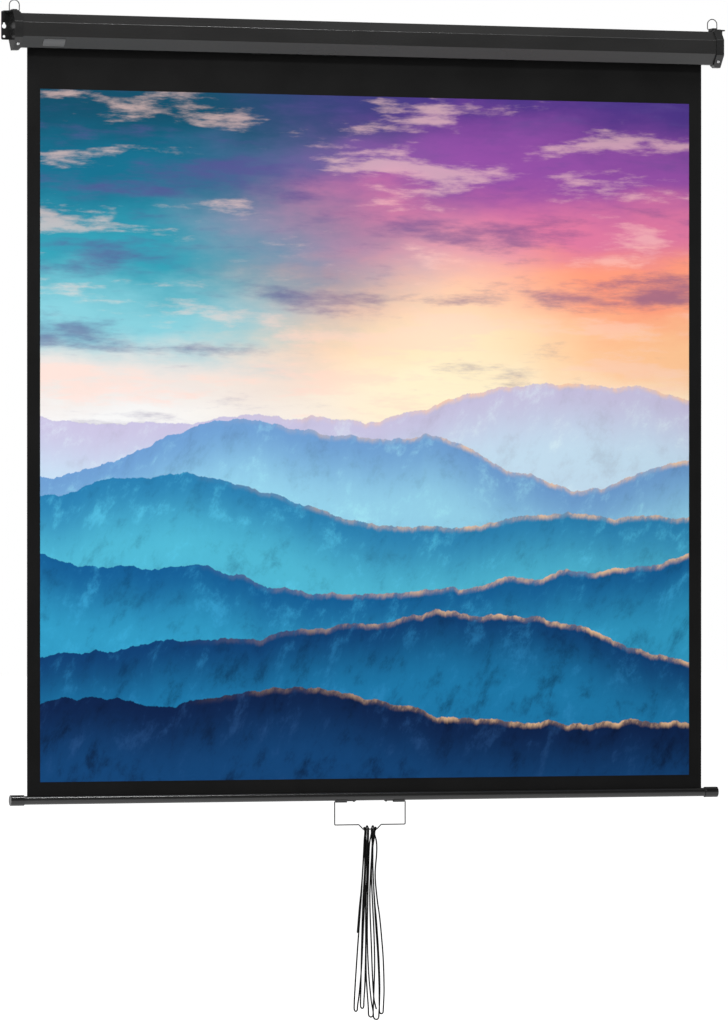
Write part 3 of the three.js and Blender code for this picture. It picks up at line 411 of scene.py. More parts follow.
def end_turn(steps=42):
    """The turn of the last end: on from the front, once round the wire, over the top and down behind."""
    rounds = END_TURN_ROUNDS + END_TURN_LEAVING
    line = []
    for step in range(steps + 1):
        done = rounds * step / steps
        leaving = max(0.0, done - END_TURN_ROUNDS) / END_TURN_LEAVING
        radius = TURN_RADIUS + (OUTER_RADIUS - TURN_RADIUS) * leaving
        angle = 2 * math.pi * done
        across = END_TURN_START + END_TURN_PITCH * min(done, END_TURN_ROUNDS)
        line.append(on_cord(across, -radius * math.cos(angle), -radius * math.sin(angle)))
    return line


def in_metres(places):
    """Places on the cord, out of millimetres."""
    return [(across / 1000, hang / 1000) for across, hang in places]


def cord_routes():
    """The first end, up to the top of its turn round the wire, and all the rest of the cord from there."""
    last_turn = end_turn()
    first_turn = [Vector((-p.x, 2 * SHEET_PLANE - p.y, p.z)) for p in reversed(last_turn)]
    top = max(range(len(first_turn) // 2), key=lambda i: first_turn[i].z)
    leave = END_TURN_START + END_TURN_PITCH * END_TURN_ROUNDS
    first_end = in_metres(CORD_FIRST_END)
    tail = [*reversed(first_turn[:top + 1]), *strand([(-leave, 0.0), *first_end], -OUTER_RADIUS, free=True),
            on_cord(first_end[-1][0], -OUTER_RADIUS, first_end[-1][1])]
    hank = first_turn[top:]
    across, radius = -END_TURN_START, TURN_RADIUS
    for loop in CORD_LOOPS:
        foot, = in_metres([loop["foot"]])
        width = loop["width"] / 1000
        bend = loop_foot(foot, width, radius, loop["radius"])
        low = DIP_LEVEL - bend[0].z
        turn = END_TURN_START if loop["turn"] is None else loop["turn"] / 1000
        hank += strand([(across, 0.0), *in_metres(loop["down"]), (foot[0] - width / 2, low)], radius)
        hank += bend
        hank += strand([(foot[0] + width / 2, low), *in_metres(loop["up"]), (turn, 0.0)], -loop["radius"])
        if loop["turn"] is not None:
            hank += over_handle(turn, loop["radius"])
        across, radius = turn, loop["radius"]
    last_end = in_metres(CORD_LAST_END)
    hank += [*last_turn, *strand([(leave, 0.0), *last_end], OUTER_RADIUS, free=True),
             on_cord(last_end[-1][0], OUTER_RADIUS, last_end[-1][1])]
    return {"cord_tail": tail, "cord_hank": hank}


def even(line, spacing):
    """The same line with its points an equal distance apart."""
    runs = [0.0]
    for before, here in zip(line, line[1:]):
        runs.append(runs[-1] + (here - before).length)
    count = max(2, round(runs[-1] / spacing))
    points, k = [], 0
    for i in range(count + 1):
        want = runs[-1] * i / count
        while k < len(runs) - 2 and runs[k + 1] < want:
            k += 1
        span = runs[k + 1] - runs[k]
        share = (want - runs[k]) / span if span else 0.0
        points.append(line[k].lerp(line[k + 1], share))
    return points


def eased(line, passes):
    """The line with its sudden turns drawn out, its ends kept."""
    for _ in range(passes):
        middle = [(a + b * 2 + c) / 4 for a, b, c in zip(line, line[1:], line[2:])]
        line = [line[0], *middle, line[-1]]
    return line


def make_cord(finish):
    """The cord in its two runs, which meet where its first end lies over the wire."""
    for name, route in cord_routes().items():
        path = eased(even(route, CORD_SPACING), CORD_EASING)[::2]
        piece = tube(name, path, CORD_DIAMETER / 2)
        stands_for(piece, "pull_cord", finish)


# Finishes. A finish has two tones, a range of roughness, the scale and depth of its grain and the scale of
# its slow patches. Some are stretched along an axis.

# The paler tone of the lines along folds and edges: partly wear, partly a painted highlight.
WEAR_AND_HIGHLIGHT_TONE = 0.045
FOLD_ROUNDING = 0.0004
WEAVE_SCALE = 420.0
BRAID_STRANDS = 4
BRAID_PITCH = 0.0032


def new_finish(name, metallic=0.0, gloss=0.5):
    """An empty finish: its material, its node tree and its shader."""
    material = bpy.data.materials.new(name)
    material.use_nodes = True
    shader = material.node_tree.nodes["Principled BSDF"]
    shader.inputs["Metallic"].default_value = metallic
    shader.inputs["Specular IOR Level"].default_value = gloss
    return material, material.node_tree, shader


def shader_node(tree, kind, inputs=(), **settings):
    """One shader node, its inputs given as numbers, colours or other nodes' outputs."""
    made = tree.nodes.new("ShaderNode" + kind)
    for key, value in settings.items():
        setattr(made, key, value)
    for key, value in dict(inputs).items():
        if isinstance(value, bpy.types.NodeSocket):
            tree.links.new(value, made.inputs[key])
        else:
            made.inputs[key].default_value = value
    return made


def math_node(tree, operation, *values):
    return shader_node(tree, "Math", dict(enumerate(values)), operation=operation).outputs[0]


def between(tree, value, low, high, at_low=0.0, at_high=1.0):
    """A value carried from one range to another, softly and without running over."""
    made = shader_node(tree, "MapRange", {
        "Value": value, "From Min": low, "From Max": high, "To Min": at_low, "To Max": at_high,
    }, interpolation_type="SMOOTHSTEP")
    return made.outputs["Result"]


def mixed(tree, share, first, second):
    """One colour turned into another by a share, on the sockets that the node keeps for colours."""
    made = shader_node(tree, "Mix", data_type="RGBA")
    for socket, value in ((made.inputs[0], share), (made.inputs[6], first), (made.inputs[7], second)):
        if isinstance(value, bpy.types.NodeSocket):
            tree.links.new(value, socket)
        else:
            socket.default_value = value
    return made.outputs[2]


def noise(tree, place, scale, detail=3.0, roughness=0.5):
    inputs = {"Vector": place, "Scale": scale, "Detail": detail, "Roughness": roughness}
    return shader_node(tree, "TexNoise", inputs).outputs["Fac"]


def grey(level, warmth=0.0):
    """A linear grey, a little warm or cool."""
    return (level * (1 + warmth), level, level * (1 - warmth), 1.0)


def distance(tree, off_x, off_y):
    """The length of a step whose two parts lie at right angles."""
    squares = [math_node(tree, "MULTIPLY", off, off) for off in (off_x, off_y)]
    return math_node(tree, "SQRT", math_node(tree, "ADD", *squares))


def object_place(tree, stretch=(1.0, 1.0, 1.0)):
    """A place on the object, stretched along its axes."""
    place = shader_node(tree, "TexCoord").outputs["Object"]
    return shader_node(tree, "Mapping", {"Vector": place, "Scale": stretch}).outputs["Vector"]


def set_bump(tree, shader, height, depth, strength=0.6):
    bump = shader_node(tree, "Bump", {"Height": height, "Distance": depth, "Strength": strength})
    tree.links.new(bump.outputs["Normal"], shader.inputs["Normal"])


def grained(name, dark, light, rough, grain, depth, patch, stretch=(1.0, 1.0, 1.0), metallic=0.0, gloss=0.5):
    """A finish with slow patches between two colours, scuffed gloss and a fine grain."""
    material, tree, shader = new_finish(name, metallic, gloss)
    place = object_place(tree, stretch)
    patches = noise(tree, place, patch)
    fine = noise(tree, place, grain, detail=2.0)
    colour = mixed(tree, between(tree, patches, 0.3, 0.7), dark, light)
    tree.links.new(colour, shader.inputs["Base Color"])
    tree.links.new(between(tree, patches, 0.25, 0.75, *rough), shader.inputs["Roughness"])
    set_bump(tree, shader, fine, depth)
    return material, tree, shader, colour


def wear_and_highlight_line(tree, shader, colour, along_y, along_z, width):
    """Paints the finish paler along a straight edge that runs from end to end: partly wear, partly a painted
    highlight on an edge that catches the light.
    """
    parts = shader_node(tree, "SeparateXYZ", {"Vector": object_place(tree)}).outputs
    off = distance(tree, math_node(tree, "SUBTRACT", parts["Y"], along_y),
                   math_node(tree, "SUBTRACT", parts["Z"], along_z))
    near = between(tree, off, width * 0.5, width, 1.0, 0.0)
    tree.links.new(mixed(tree, near, colour, grey(WEAR_AND_HIGHLIGHT_TONE)), shader.inputs["Base Color"])


def case_paint():
    """Dark grey satin paint on sheet steel, with a paler line along the front fold that is partly wear and
    partly a painted highlight.
    """
    material, tree, shader, colour = grained(
        "case_paint", grey(0.007, 0.02), grey(0.010, 0.02), (0.23, 0.29), 1600, 0.00004, patch=9,
        stretch=(0.35, 1.0, 1.0))
    wear_and_highlight_line(tree, shader, colour, CASE_LOW.y + FOLD_ROUNDING, CASE_HIGH.z - CASE_FOLD, 0.0010)
    return material


def cap_plastic():
    """Black moulded plastic, with the same paler line along its fold as the case: partly wear, partly a
    painted highlight.
    """
    material, tree, shader, colour = grained(
        "cap_plastic", grey(0.009), grey(0.012), (0.14, 0.20), 900, 0.00001, patch=30, gloss=0.45)
    wear_and_highlight_line(tree, shader, colour, CAP_LOW.y + FOLD_ROUNDING, CAP_HIGH.z - CAP_FOLD, 0.0012)
    return material


def bar_paint():
    """Black paint on the bar, a little smoother than the case's, with a paler line along the front of its
    slot that is partly wear and partly a painted highlight.
    """
    material, tree, shader, colour = grained(
        "bar_paint", grey(0.010), grey(0.014), (0.20, 0.24), 1400, 0.00001, patch=3,
        stretch=(0.3, 1.0, 1.0))
    wear_and_highlight_line(tree, shader, colour, SHEET_PLANE - BAR_SLOT / 2, BAR_HIGH.z, 0.0010)
    return material


def clip_metal():
    """Black pressed steel."""
    return grained("clip_metal", grey(0.010), grey(0.018), (0.3, 0.45), 1500, 0.00005, patch=60)[0]


def screw_steel():
    """Bright zinc, with fine turning marks."""
    return grained("screw_steel", grey(0.40), grey(0.58), (0.2, 0.36), 2600, 0.00005, patch=220,
                   metallic=1.0)[0]


def ring_steel():
    """Bright drawn wire, with marks along its length."""
    return grained("ring_steel", grey(0.08), grey(0.13), (0.2, 0.34), 2200, 0.00004, patch=120,
                   stretch=(1.0, 1.0, 0.4), metallic=1.0)[0]


def handle_steel():
    """Dull grey plated wire."""
    return grained("handle_wire", grey(0.022), grey(0.036), (0.48, 0.60), 1900, 0.00004, patch=90,
                   metallic=0.45, gloss=0.2)[0]


def badge_metal():
    """Brushed grey metal, the marks along its length."""
    return grained("badge_metal", grey(0.11), grey(0.15), (0.34, 0.5), 1500, 0.00005, patch=90,
                   stretch=(0.05, 1.0, 1.0), metallic=0.6)[0]


def roller_steel():
    """Galvanised tube, with spangle."""
    return grained("roller_steel", grey(0.42), grey(0.60), (0.28, 0.42), 1400, 0.00004, patch=55,
                   metallic=1.0)[0]


def spring_steel():
    """Dark oiled spring wire."""
    return grained("spring_steel", grey(0.10), grey(0.20), (0.25, 0.42), 1800, 0.00004, patch=120,
                   metallic=1.0)[0]


def inner_plastic():
    """Natural white moulding."""
    return grained("inner_plastic", grey(0.60, 0.03), grey(0.70, 0.02), (0.38, 0.52), 1100, 0.00004,
                   patch=40)[0]


def cloth_grain(tree, place):
    """The fine weave that shows through the coating of the sheet."""
    waves = []
    for direction in ("X", "Y"):
        wave = shader_node(tree, "TexWave", {
            "Vector": place, "Scale": WEAVE_SCALE, "Distortion": 0.6, "Detail": 1.0,
        }, wave_type="BANDS", bands_direction=direction)
        waves.append(wave.outputs["Fac"])
    return math_node(tree, "ADD", *waves)


def black_coat(tree, shader, cut):
    """Sets the gloss and weave of the coated cloth on the shader, and gives the black of its coating."""
    patches = noise(tree, cut, 6.0)
    tree.links.new(between(tree, patches, 0.2, 0.8, 0.5, 0.62), shader.inputs["Roughness"])
    set_bump(tree, shader, cloth_grain(tree, cut), 0.00005)
    return mixed(tree, between(tree, patches, 0.3, 0.7), grey(0.0070), grey(0.0090))


def black_cloth():
    """The black coating of the foot, of the turns on the roller and of the back of the sheet."""
    material, tree, shader = new_finish("screen_border", gloss=0.05)
    cut = shader_node(tree, "UVMap", uv_map="cut").outputs["UV"]
    tree.links.new(black_coat(tree, shader, cut), shader.inputs["Base Color"])
    return material


# The made-up picture: a sky from its top down, cool at its left and warm at its right, then ridges in front
# of it, from the furthest. A ridge has its height, the tones at its crest and its foot, and its waves, each
# with a size, a pace and a start.
LEFT_SKY = [
    (0.00, (0.004, 0.060, 0.110, 1)),
    (0.12, (0.006, 0.130, 0.220, 1)),
    (0.24, (0.030, 0.300, 0.400, 1)),
    (0.33, (0.220, 0.560, 0.640, 1)),
    (0.41, (0.800, 0.720, 0.680, 1)),
    (0.50, (0.860, 0.860, 0.860, 1)),
]
RIGHT_SKY = [
    (0.00, (0.060, 0.030, 0.200, 1)),
    (0.10, (0.260, 0.070, 0.330, 1)),
    (0.20, (0.700, 0.180, 0.330, 1)),
    (0.29, (0.980, 0.330, 0.200, 1)),
    (0.37, (1.000, 0.560, 0.300, 1)),
    (0.45, (1.000, 0.820, 0.600, 1)),
]
RIDGES = [
    (0.455, (0.560, 0.520, 0.720, 1), (0.560, 0.740, 0.880, 1), [(0.030, 5.0, 0.4), (0.012, 13.0, 1.0)]),
    (0.520, (0.150, 0.330, 0.620, 1), (0.300, 0.640, 0.820, 1), [(0.038, 6.5, 2.2), (0.012, 17.0, 0.3)]),
    (0.600, (0.022, 0.210, 0.430, 1), (0.080, 0.480, 0.660, 1), [(0.034, 5.6, 4.0), (0.014, 12.0, 2.0)]),
    (0.690, (0.006, 0.110, 0.300, 1), (0.030, 0.330, 0.560, 1), [(0.040, 4.6, 5.4), (0.010, 15.0, 0.8)]),
    (0.790, (0.004, 0.050, 0.170, 1), (0.012, 0.200, 0.420, 1), [(0.034, 6.2, 1.2), (0.012, 11.0, 3.0)]),
    (0.900, (0.003, 0.016, 0.070, 1), (0.006, 0.060, 0.190, 1), [(0.028, 5.2, 3.3), (0.012, 14.0, 5.0)]),
]
SUN_ACROSS = 0.64
SUN_DOWN = 0.40
SUN_GLOW = (1.0, 0.90, 0.62, 1)
CLOUD_SHADE = (0.090, 0.060, 0.240, 1)
CLOUD_LIGHT = (1.0, 0.66, 0.56, 1)
CREST_LIGHT = (1.0, 0.62, 0.34, 1)


def ridge_edge(tree, across, level, waves, rough):
    """The height of a ridge across the picture: its level, its slow waves and its roughness."""
    height = math_node(tree, "ADD", level, rough)
    for size, pace, start in waves:
        wave = math_node(tree, "SINE", math_node(tree, "MULTIPLY_ADD", across, pace, start))
        height = math_node(tree, "MULTIPLY_ADD", wave, size, height)
    return height


def toned(tree, level, tones):
    """A colour that changes softly with a level, through a list of tones."""
    ramp = shader_node(tree, "ValToRGB", {"Fac": level})
    ramp.color_ramp.interpolation = "EASE"
    stops = ramp.color_ramp.elements
    for i, (place, colour) in enumerate(tones):
        stop = stops[i] if i < len(stops) else stops.new(place)
        stop.position = place
        stop.color = colour
    return ramp.outputs["Color"]


def on_picture(tree, across, down, pace_across, pace_down, start=0.0):
    """A place on the picture, stretched for a texture."""
    x = math_node(tree, "MULTIPLY", across, pace_across)
    y = math_node(tree, "MULTIPLY", down, pace_down)
    return shader_node(tree, "CombineXYZ", {"X": x, "Y": y, "Z": start}).outputs[0]


def painted_sky(tree, across, down, past_sun):
    """The sky: its cool and warm sides, the glow round the low sun, and clouds in shade and in light."""
    drift = noise(tree, on_picture(tree, across, down, 2.2, 6.0), 1.0, detail=6.0, roughness=0.6)
    level = math_node(tree, "ADD", down, math_node(tree, "MULTIPLY_ADD", drift, 0.20, -0.10))
    side = math_node(tree, "MULTIPLY_ADD", drift, 0.5, across)
    colour = mixed(tree, between(tree, side, 0.40, 0.95),
                   toned(tree, level, LEFT_SKY), toned(tree, level, RIGHT_SKY))
    from_sun = distance(tree, past_sun, math_node(tree, "SUBTRACT", down, SUN_DOWN))
    colour = mixed(tree, between(tree, from_sun, 0.02, 0.26, 0.7, 0.0), colour, SUN_GLOW)
    clouds = noise(tree, on_picture(tree, across, down, 3.0, 13.0, 4.0), 1.0, detail=8.0, roughness=0.62)
    colour = mixed(tree, between(tree, clouds, 0.50, 0.66, 0.0, 0.65), colour, CLOUD_SHADE)
    return mixed(tree, between(tree, clouds, 0.47, 0.38, 0.0, 0.40), colour, CLOUD_LIGHT)


def painted_ridge(tree, across, down, past_sun, behind, rank):
    """A ridge in front of what lies behind it, with mist at its foot, ribs of shade and light down its slope
    and the sun on its crest. The nearer it is, the deeper its ribs."""
    level, crest, foot, waves = RIDGES[rank]
    near = rank / (len(RIDGES) - 1)
    rough = noise(tree, on_picture(tree, across, down, 7.0, 0.6, 7.0 * rank), 1.0, detail=9.0, roughness=0.62)
    rough = math_node(tree, "MULTIPLY_ADD", rough, 0.07, -0.035)
    depth = math_node(tree, "SUBTRACT", down, ridge_edge(tree, across, level, waves, rough))
    tone = mixed(tree, between(tree, depth, 0.0, 0.11), crest, foot)
    lean = math_node(tree, "MULTIPLY_ADD", depth, 0.35, across)
    ribs = noise(tree, on_picture(tree, lean, depth, 14.0 + 8.0 * near, 13.0, 3.0 * rank), 1.0,
                 detail=10.0, roughness=0.70)
    dark = tuple(0.40 * c for c in crest[:3]) + (1.0,)
    tone = mixed(tree, between(tree, ribs, 0.50, 0.72, 0.0, 0.25 + 0.50 * near), tone, dark)
    light = tuple(min(1.0, 1.45 * c + 0.02) for c in foot[:3]) + (1.0,)
    tone = mixed(tree, between(tree, ribs, 0.48, 0.30, 0.0, 0.40), tone, light)
    glint = math_node(tree, "MULTIPLY", between(tree, depth, 0.0, 0.010, 1.0, 0.0),
                      between(tree, ribs, 0.42, 0.60, 0.15, 1.0))
    glint = math_node(tree, "MULTIPLY", glint, between(tree, past_sun, -0.45, 0.10, 0.0, 0.85))
    tone = mixed(tree, glint, tone, CREST_LIGHT)
    return mixed(tree, between(tree, depth, -0.0008, 0.0008), behind, tone)


def printed_picture(tree, across, down):
    """Ridges of blue and mist under a warm evening sky. across and down run from 0 to 1 over the picture."""
    past_sun = math_node(tree, "SUBTRACT", across, SUN_ACROSS)
    colour = painted_sky(tree, across, down, past_sun)
    for rank in range(len(RIDGES)):
        colour = painted_ridge(tree, across, down, past_sun, colour, rank)
    return colour


def screen_front():
    """The front of the sheet: a printed picture inside the black border."""
    material, tree, shader = new_finish("screen_front", gloss=0.05)
    cut = shader_node(tree, "UVMap", uv_map="cut").outputs["UV"]
    parts = shader_node(tree, "SeparateXYZ", {"Vector": cut}).outputs
    top = FOOT_TOP + PICTURE_HEIGHT
    across = math_node(tree, "MULTIPLY_ADD", parts["X"], 1 / PICTURE_WIDTH, 0.5)
    down = math_node(tree, "MULTIPLY_ADD", parts["Y"], -1 / PICTURE_HEIGHT, top / PICTURE_HEIGHT)
    inside = 1.0
    for value in (across, down):
        off = math_node(tree, "ABSOLUTE", math_node(tree, "SUBTRACT", value, 0.5))
        inside = math_node(tree, "MULTIPLY", inside, between(tree, off, 0.4994, 0.5002, 1.0, 0.0))
    picture = printed_picture(tree, across, down)
    border = black_coat(tree, shader, cut)
    tree.links.new(mixed(tree, inside, border, picture), shader.inputs["Base Color"])
    return material


def cord_black():
    """Black braided cord: two sets of strands crossing on its surface, with painted shade in the grooves
    between them.
    """
    material, tree, shader = new_finish("cord_black", gloss=0.1)
    run = shader_node(tree, "UVMap", uv_map="run").outputs["UV"]
    parts = shader_node(tree, "SeparateXYZ", {"Vector": run}).outputs
    girth = math.pi * CORD_DIAMETER
    around = math_node(tree, "MULTIPLY", parts["X"], 2 * math.pi * BRAID_STRANDS / girth)
    along = math_node(tree, "MULTIPLY", parts["Y"], 2 * math.pi / BRAID_PITCH)
    left = math_node(tree, "SINE", math_node(tree, "ADD", around, along))
    right = math_node(tree, "SINE", math_node(tree, "SUBTRACT", around, along))
    braid = math_node(tree, "MAXIMUM", left, right)
    # Painted shade: the grooves between the strands are darker than the strands' crowns.
    colour = mixed(tree, between(tree, braid, -0.4, 1.0), grey(0.0012), grey(0.0045))
    tree.links.new(colour, shader.inputs["Base Color"])
    tree.links.new(between(tree, braid, -0.4, 1.0, 0.85, 0.62), shader.inputs["Roughness"])
    set_bump(tree, shader, braid, 0.0003, 0.8)
    return material


# Pieces of the case

FINE_EDGE = 0.0002
MOULDED_EDGE = 0.0012
PRESSED_EDGE = 0.0003
PLATE_RIM = 0.0009
PLATE_STEP = 0.0002
RING_CORNER = 0.0024
ARCH_STEPS = 32


def make_case(finishes):
    """The shell of the case, the caps over its ends and the screws that hold them."""
    shell = fine_copy("housing", "case_shell", FINE_EDGE)
    stands_for(shell, "housing", finishes["case_paint"])
    for side in SIDES:
        cap = fine_copy("end_cap_" + side, "cap_" + side, MOULDED_EDGE)
        stands_for(cap, "end_cap_" + side, finishes["cap_plastic"])
        screw = fine_copy("cap_screw_" + side, "cap_screw_head_" + side, FINE_EDGE)
        stands_for(screw, "cap_screw_" + side, finishes["screw_steel"])


def make_ring(side, finish):
    """A hanger ring: an arch of wire whose ends are butted inside the boss."""
    low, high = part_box("hanger_ring_" + side)
    wire = high.y - low.y
    middle = (low.x + high.x) / 2
    y = (low.y + high.y) / 2
    half = (high.x - low.x - wire) / 2
    pivot = low.z + wire / 2
    arch_centre = high.z - wire / 2 - half
    left = rounded([
        Vector((middle - wire / 4, y, pivot)),
        Vector((middle - half, y, pivot)),
        Vector((middle - half, y, arch_centre)),
    ], RING_CORNER)
    arch = []
    for i in range(1, ARCH_STEPS):
        angle = math.pi * (1 - i / ARCH_STEPS)
        arch.append(Vector((middle + half * math.cos(angle), y, arch_centre + half * math.sin(angle))))
    right = [Vector((2 * middle - p.x, p.y, p.z)) for p in reversed(left)]
    ring = tube("ring_" + side, [*left, *arch, *right], wire / 2, WIRE_SIDES)
    stands_for(ring, "hanger_ring_" + side, finish)


def make_badge(finish):
    """The bare plate on the lower slant: a raised rim round a flat field."""
    plate = fine_copy("badge_plate", "badge", FINE_EDGE)
    outward = max((face for face in plate.data.polygons if face.normal.y < 0), key=lambda face: face.area)
    normal = outward.normal.copy()
    edit(plate)
    pick_faces(plate, lambda face: face.normal.dot(normal) > SAME_WAY)
    bpy.ops.mesh.inset(thickness=PLATE_RIM, depth=0)
    bpy.ops.mesh.inset(thickness=PLATE_STEP, depth=-PLATE_STEP)
    close_edit()
    shade(plate, SMOOTH_ON_PLATE)
    stands_for(plate, "badge_plate", finish)


# The bar and what hangs from it

BAR_SIDES = 72
BAR_CAP_SIDES = 64
BAR_EDGE = 0.0003
BAR_CAP_EDGE = 0.0016
DISH_RIM = 0.0034
DISH_SLOPE = 0.0006
DISH_DEPTH = 0.0005


def make_bar(finish):
    """The round tube of the bar, open along its top for the hem of the sheet."""
    bpy.ops.mesh.primitive_cylinder_add(
        vertices=BAR_SIDES, radius=BAR_RADIUS, depth=BAR_HIGH.x - BAR_LOW.x, end_fill_type="NOTHING",
        location=(0, SHEET_PLANE, BAR_CENTRE), rotation=(0, math.pi / 2, 0))
    bar = added("bar")
    edit(bar)
    pick_faces(bar, lambda face: face.normal.z > math.cos(BAR_SLOT / 2 / BAR_RADIUS))
    bpy.ops.mesh.delete(type="FACE")
    close_edit()
    finish_with(bar, "SOLIDIFY", thickness=BAR_WALL, offset=-1)
    finish_with(bar, "BEVEL", width=BAR_EDGE, segments=2, limit_method="ANGLE", angle_limit=SHARP_ON_ROUNDS)
    shade(bar)
    stands_for(bar, "bottom_bar", finish)


def make_bar_cap(side, finish):
    """A cap pushed over the end of the bar, with a rounded end and a shallow dish in it."""
    low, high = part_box("bar_cap_" + side)
    way = -1 if side == "left" else 1
    bpy.ops.mesh.primitive_cylinder_add(
        vertices=BAR_CAP_SIDES, radius=BAR_CAP_RADIUS, depth=BAR_CAP_LENGTH, end_fill_type="NGON",
        location=((low.x + high.x) / 2, SHEET_PLANE, BAR_CENTRE), rotation=(0, math.pi / 2, 0))
    cap = added("bar_end_" + side)
    edit(cap)
    pick_faces(cap, lambda face: face.normal.x * way < -FACING)
    bpy.ops.mesh.inset(thickness=BAR_CAP_RADIUS - BAR_RADIUS - CLEARANCE, depth=0)
    bpy.ops.mesh.extrude_region_move(TRANSFORM_OT_translate={
        "value": (way * (BAR_CAP_LENGTH - BAR_CAP_WALL), 0, 0)})
    pick_faces(cap, lambda face: face.normal.x * way > FACING)
    bpy.ops.mesh.inset(thickness=DISH_RIM, depth=0)
    bpy.ops.mesh.inset(thickness=DISH_SLOPE, depth=-DISH_DEPTH)
    close_edit()
    finish_with(cap, "BEVEL", width=BAR_CAP_EDGE, segments=4, limit_method="ANGLE",
                angle_limit=SHARP_ON_ROUNDS)
    shade(cap)
    stands_for(cap, "bar_cap_" + side, finish)


def make_clips(finish):
    """The clips that hold the handle to the bar, each with its screw."""
    for side in SIDES:
        clip = fine_copy("handle_clip_" + side, "clip_" + side, PRESSED_EDGE)
        stands_for(clip, "handle_clip_" + side, finish)
        screw = fine_copy("clip_screw_" + side, "clip_screw_head_" + side, FINE_EDGE)
        stands_for(screw, "clip_screw_" + side, finish)


def make_handle(finish):
    """The pull handle: one wire with its ends under the clips and its middle dipped for the cord."""
    half = (HANDLE_HIGH.x - HANDLE_LOW.x - HANDLE_WIRE) / 2
    pivot = HANDLE_HIGH.z - HANDLE_WIRE / 2
    floor = pivot - HANDLE_DROP

    def corner(x, z):
        return Vector((x, SHEET_PLANE, z))

    left = rounded([
        corner(-half + HANDLE_PIVOT_END, pivot),
        corner(-half, pivot),
        corner(-half, floor),
        corner(-DIP_WIDTH / 2, floor),
        corner(-DIP_FLOOR / 2, DIP_LEVEL),
        corner(0, DIP_LEVEL),
    ], HANDLE_CORNER)
    right = [corner(-p.x, p.z) for p in reversed(left[:-1])]
    wire = tube("handle", [*left, *right], HANDLE_WIRE / 2, WIRE_SIDES)
    stands_for(wire, "pull_handle", finish)


# The sheet. Its slack is the sum of waves, each with a size, a pace across, a pace down and a start.

SHEET_COLUMNS = 96
SHEET_ROWS = 110
FOOT_ROWS = 8
HEM_STEPS = 28
WRAP_COLUMNS = 8
WRAP_STEPS = 48
SLACK_WAVES = [(0.0007, 5.3, 0.5, 0.8), (0.0004, 11.0, -1.1, 2.0)]
FRONT_FACING = 0.5
STILL_UNDER_ROLLER = 0.2
STILL_OVER_FOOT = 0.12


def sheet_mesh(name, line, slack=None, columns=SHEET_COLUMNS, cut_above=0.0):
    """A sheet along a line of places seen from the end, mapped as it was cut, and the length of the line."""
    runs = [cut_above]
    for before, here in zip(line, line[1:]):
        runs.append(runs[-1] + (here - before).length)
    points, faces, corners = [], [], []
    for place in line:
        for k in range(columns + 1):
            x = SHEET_LOW.x + SHEET_WIDTH * k / columns
            points.append(Vector((x, place.x + (slack(x, place.y) if slack else 0.0), place.y)))
    for i in range(len(line) - 1):
        for k in range(columns):
            a = i * (columns + 1) + k
            b = a + columns + 1
            faces.append((a, b, b + 1, a + 1))
            x0, x1 = (SHEET_LOW.x + SHEET_WIDTH * j / columns for j in (k, k + 1))
            y0, y1 = (SHEET_HIGH.z - runs[j] for j in (i, i + 1))
            corners += [(x0, y0), (x0, y1), (x1, y1), (x1, y0)]
    piece = mapped_piece(name, points, faces, "cut", corners)
    finish_with(piece, "SOLIDIFY", thickness=SHEET_THICKNESS, offset=0)
    select_only(piece)
    bpy.ops.object.shade_smooth_by_angle(angle=SMOOTH_ON_CLOTH)
    return piece, runs[-1] - cut_above


def hanging_slack(x, z):
    """The slight waves of cloth that hangs from a roller, still at its top and at its foot."""
    top = min(1.0, max(0.0, (SHEET_HIGH.z - z) / STILL_UNDER_ROLLER))
    bottom = min(1.0, max(0.0, (z - FOOT_TOP) / STILL_OVER_FOOT))
    wave = sum(size * math.sin(across * x + down * z + start) for size, across, down, start in SLACK_WAVES)
    return wave * top * bottom


def make_sheet(finishes):
    """The sheet that the roller takes up, down to the foot of the picture. Gives the length of its cut."""
    line = []
    for i in range(SHEET_ROWS + 1):
        line.append(Vector((SHEET_PLANE, SHEET_HIGH.z + (FOOT_TOP - SHEET_HIGH.z) * i / SHEET_ROWS)))
    sheet, length = sheet_mesh("screen_sheet", line, hanging_slack)
    stands_for(sheet, "screen_fabric", finishes["screen_front"])
    sheet.data.materials.append(finishes["black_cloth"])
    for face in sheet.data.polygons:
        face.material_index = 0 if face.normal.y < -FRONT_FACING else 1
    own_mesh(sheet)
    return length


def make_foot(finish, cut_above):
    """The foot of the sheet, which stays out and rides on the bar: the black border under the picture and the
    hem, a pocket round the rod."""
    rod = (HEM_HIGH.z - HEM_LOW.z) / 2
    centre = (HEM_LOW.z + HEM_HIGH.z) / 2
    radius = rod + CLEARANCE + SHEET_THICKNESS / 2
    line = []
    for i in range(FOOT_ROWS):
        line.append(Vector((SHEET_PLANE, FOOT_TOP + (centre + radius - FOOT_TOP) * i / FOOT_ROWS)))
    for i in range(HEM_STEPS - 1):
        angle = math.pi / 2 + 2 * math.pi * i / HEM_STEPS
        line.append(Vector((SHEET_PLANE + radius * math.cos(angle), centre + radius * math.sin(angle))))
    foot, length = sheet_mesh("sheet_foot", line, cut_above=cut_above)
    foot.data.materials.append(finish)
    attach(foot, frame["nodes"]["hem_rod"]["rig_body"])


def make_wraps(finish):
    """The turns of the sheet that stay wound on the roller."""
    centre = Vector(((WRAPS_LOW.y + WRAPS_HIGH.y) / 2, (WRAPS_LOW.z + WRAPS_HIGH.z) / 2))
    outer = (WRAPS_HIGH.z - WRAPS_LOW.z) / 2 - SHEET_THICKNESS / 2
    steps = WRAP_STEPS * WRAP_TURNS
    line = []
    for i in range(steps + 1):
        angle = -2 * math.pi * WRAP_TURNS * i / steps
        radius = outer - WRAP_PITCH * WRAP_TURNS * i / steps
        line.append(centre + Vector((math.cos(angle), math.sin(angle))) * radius)
    wraps, length = sheet_mesh("sheet_wraps", line, columns=WRAP_COLUMNS)
    stands_for(wraps, "fabric_wraps", finish)


# The pieces inside keep their solids and get their finish

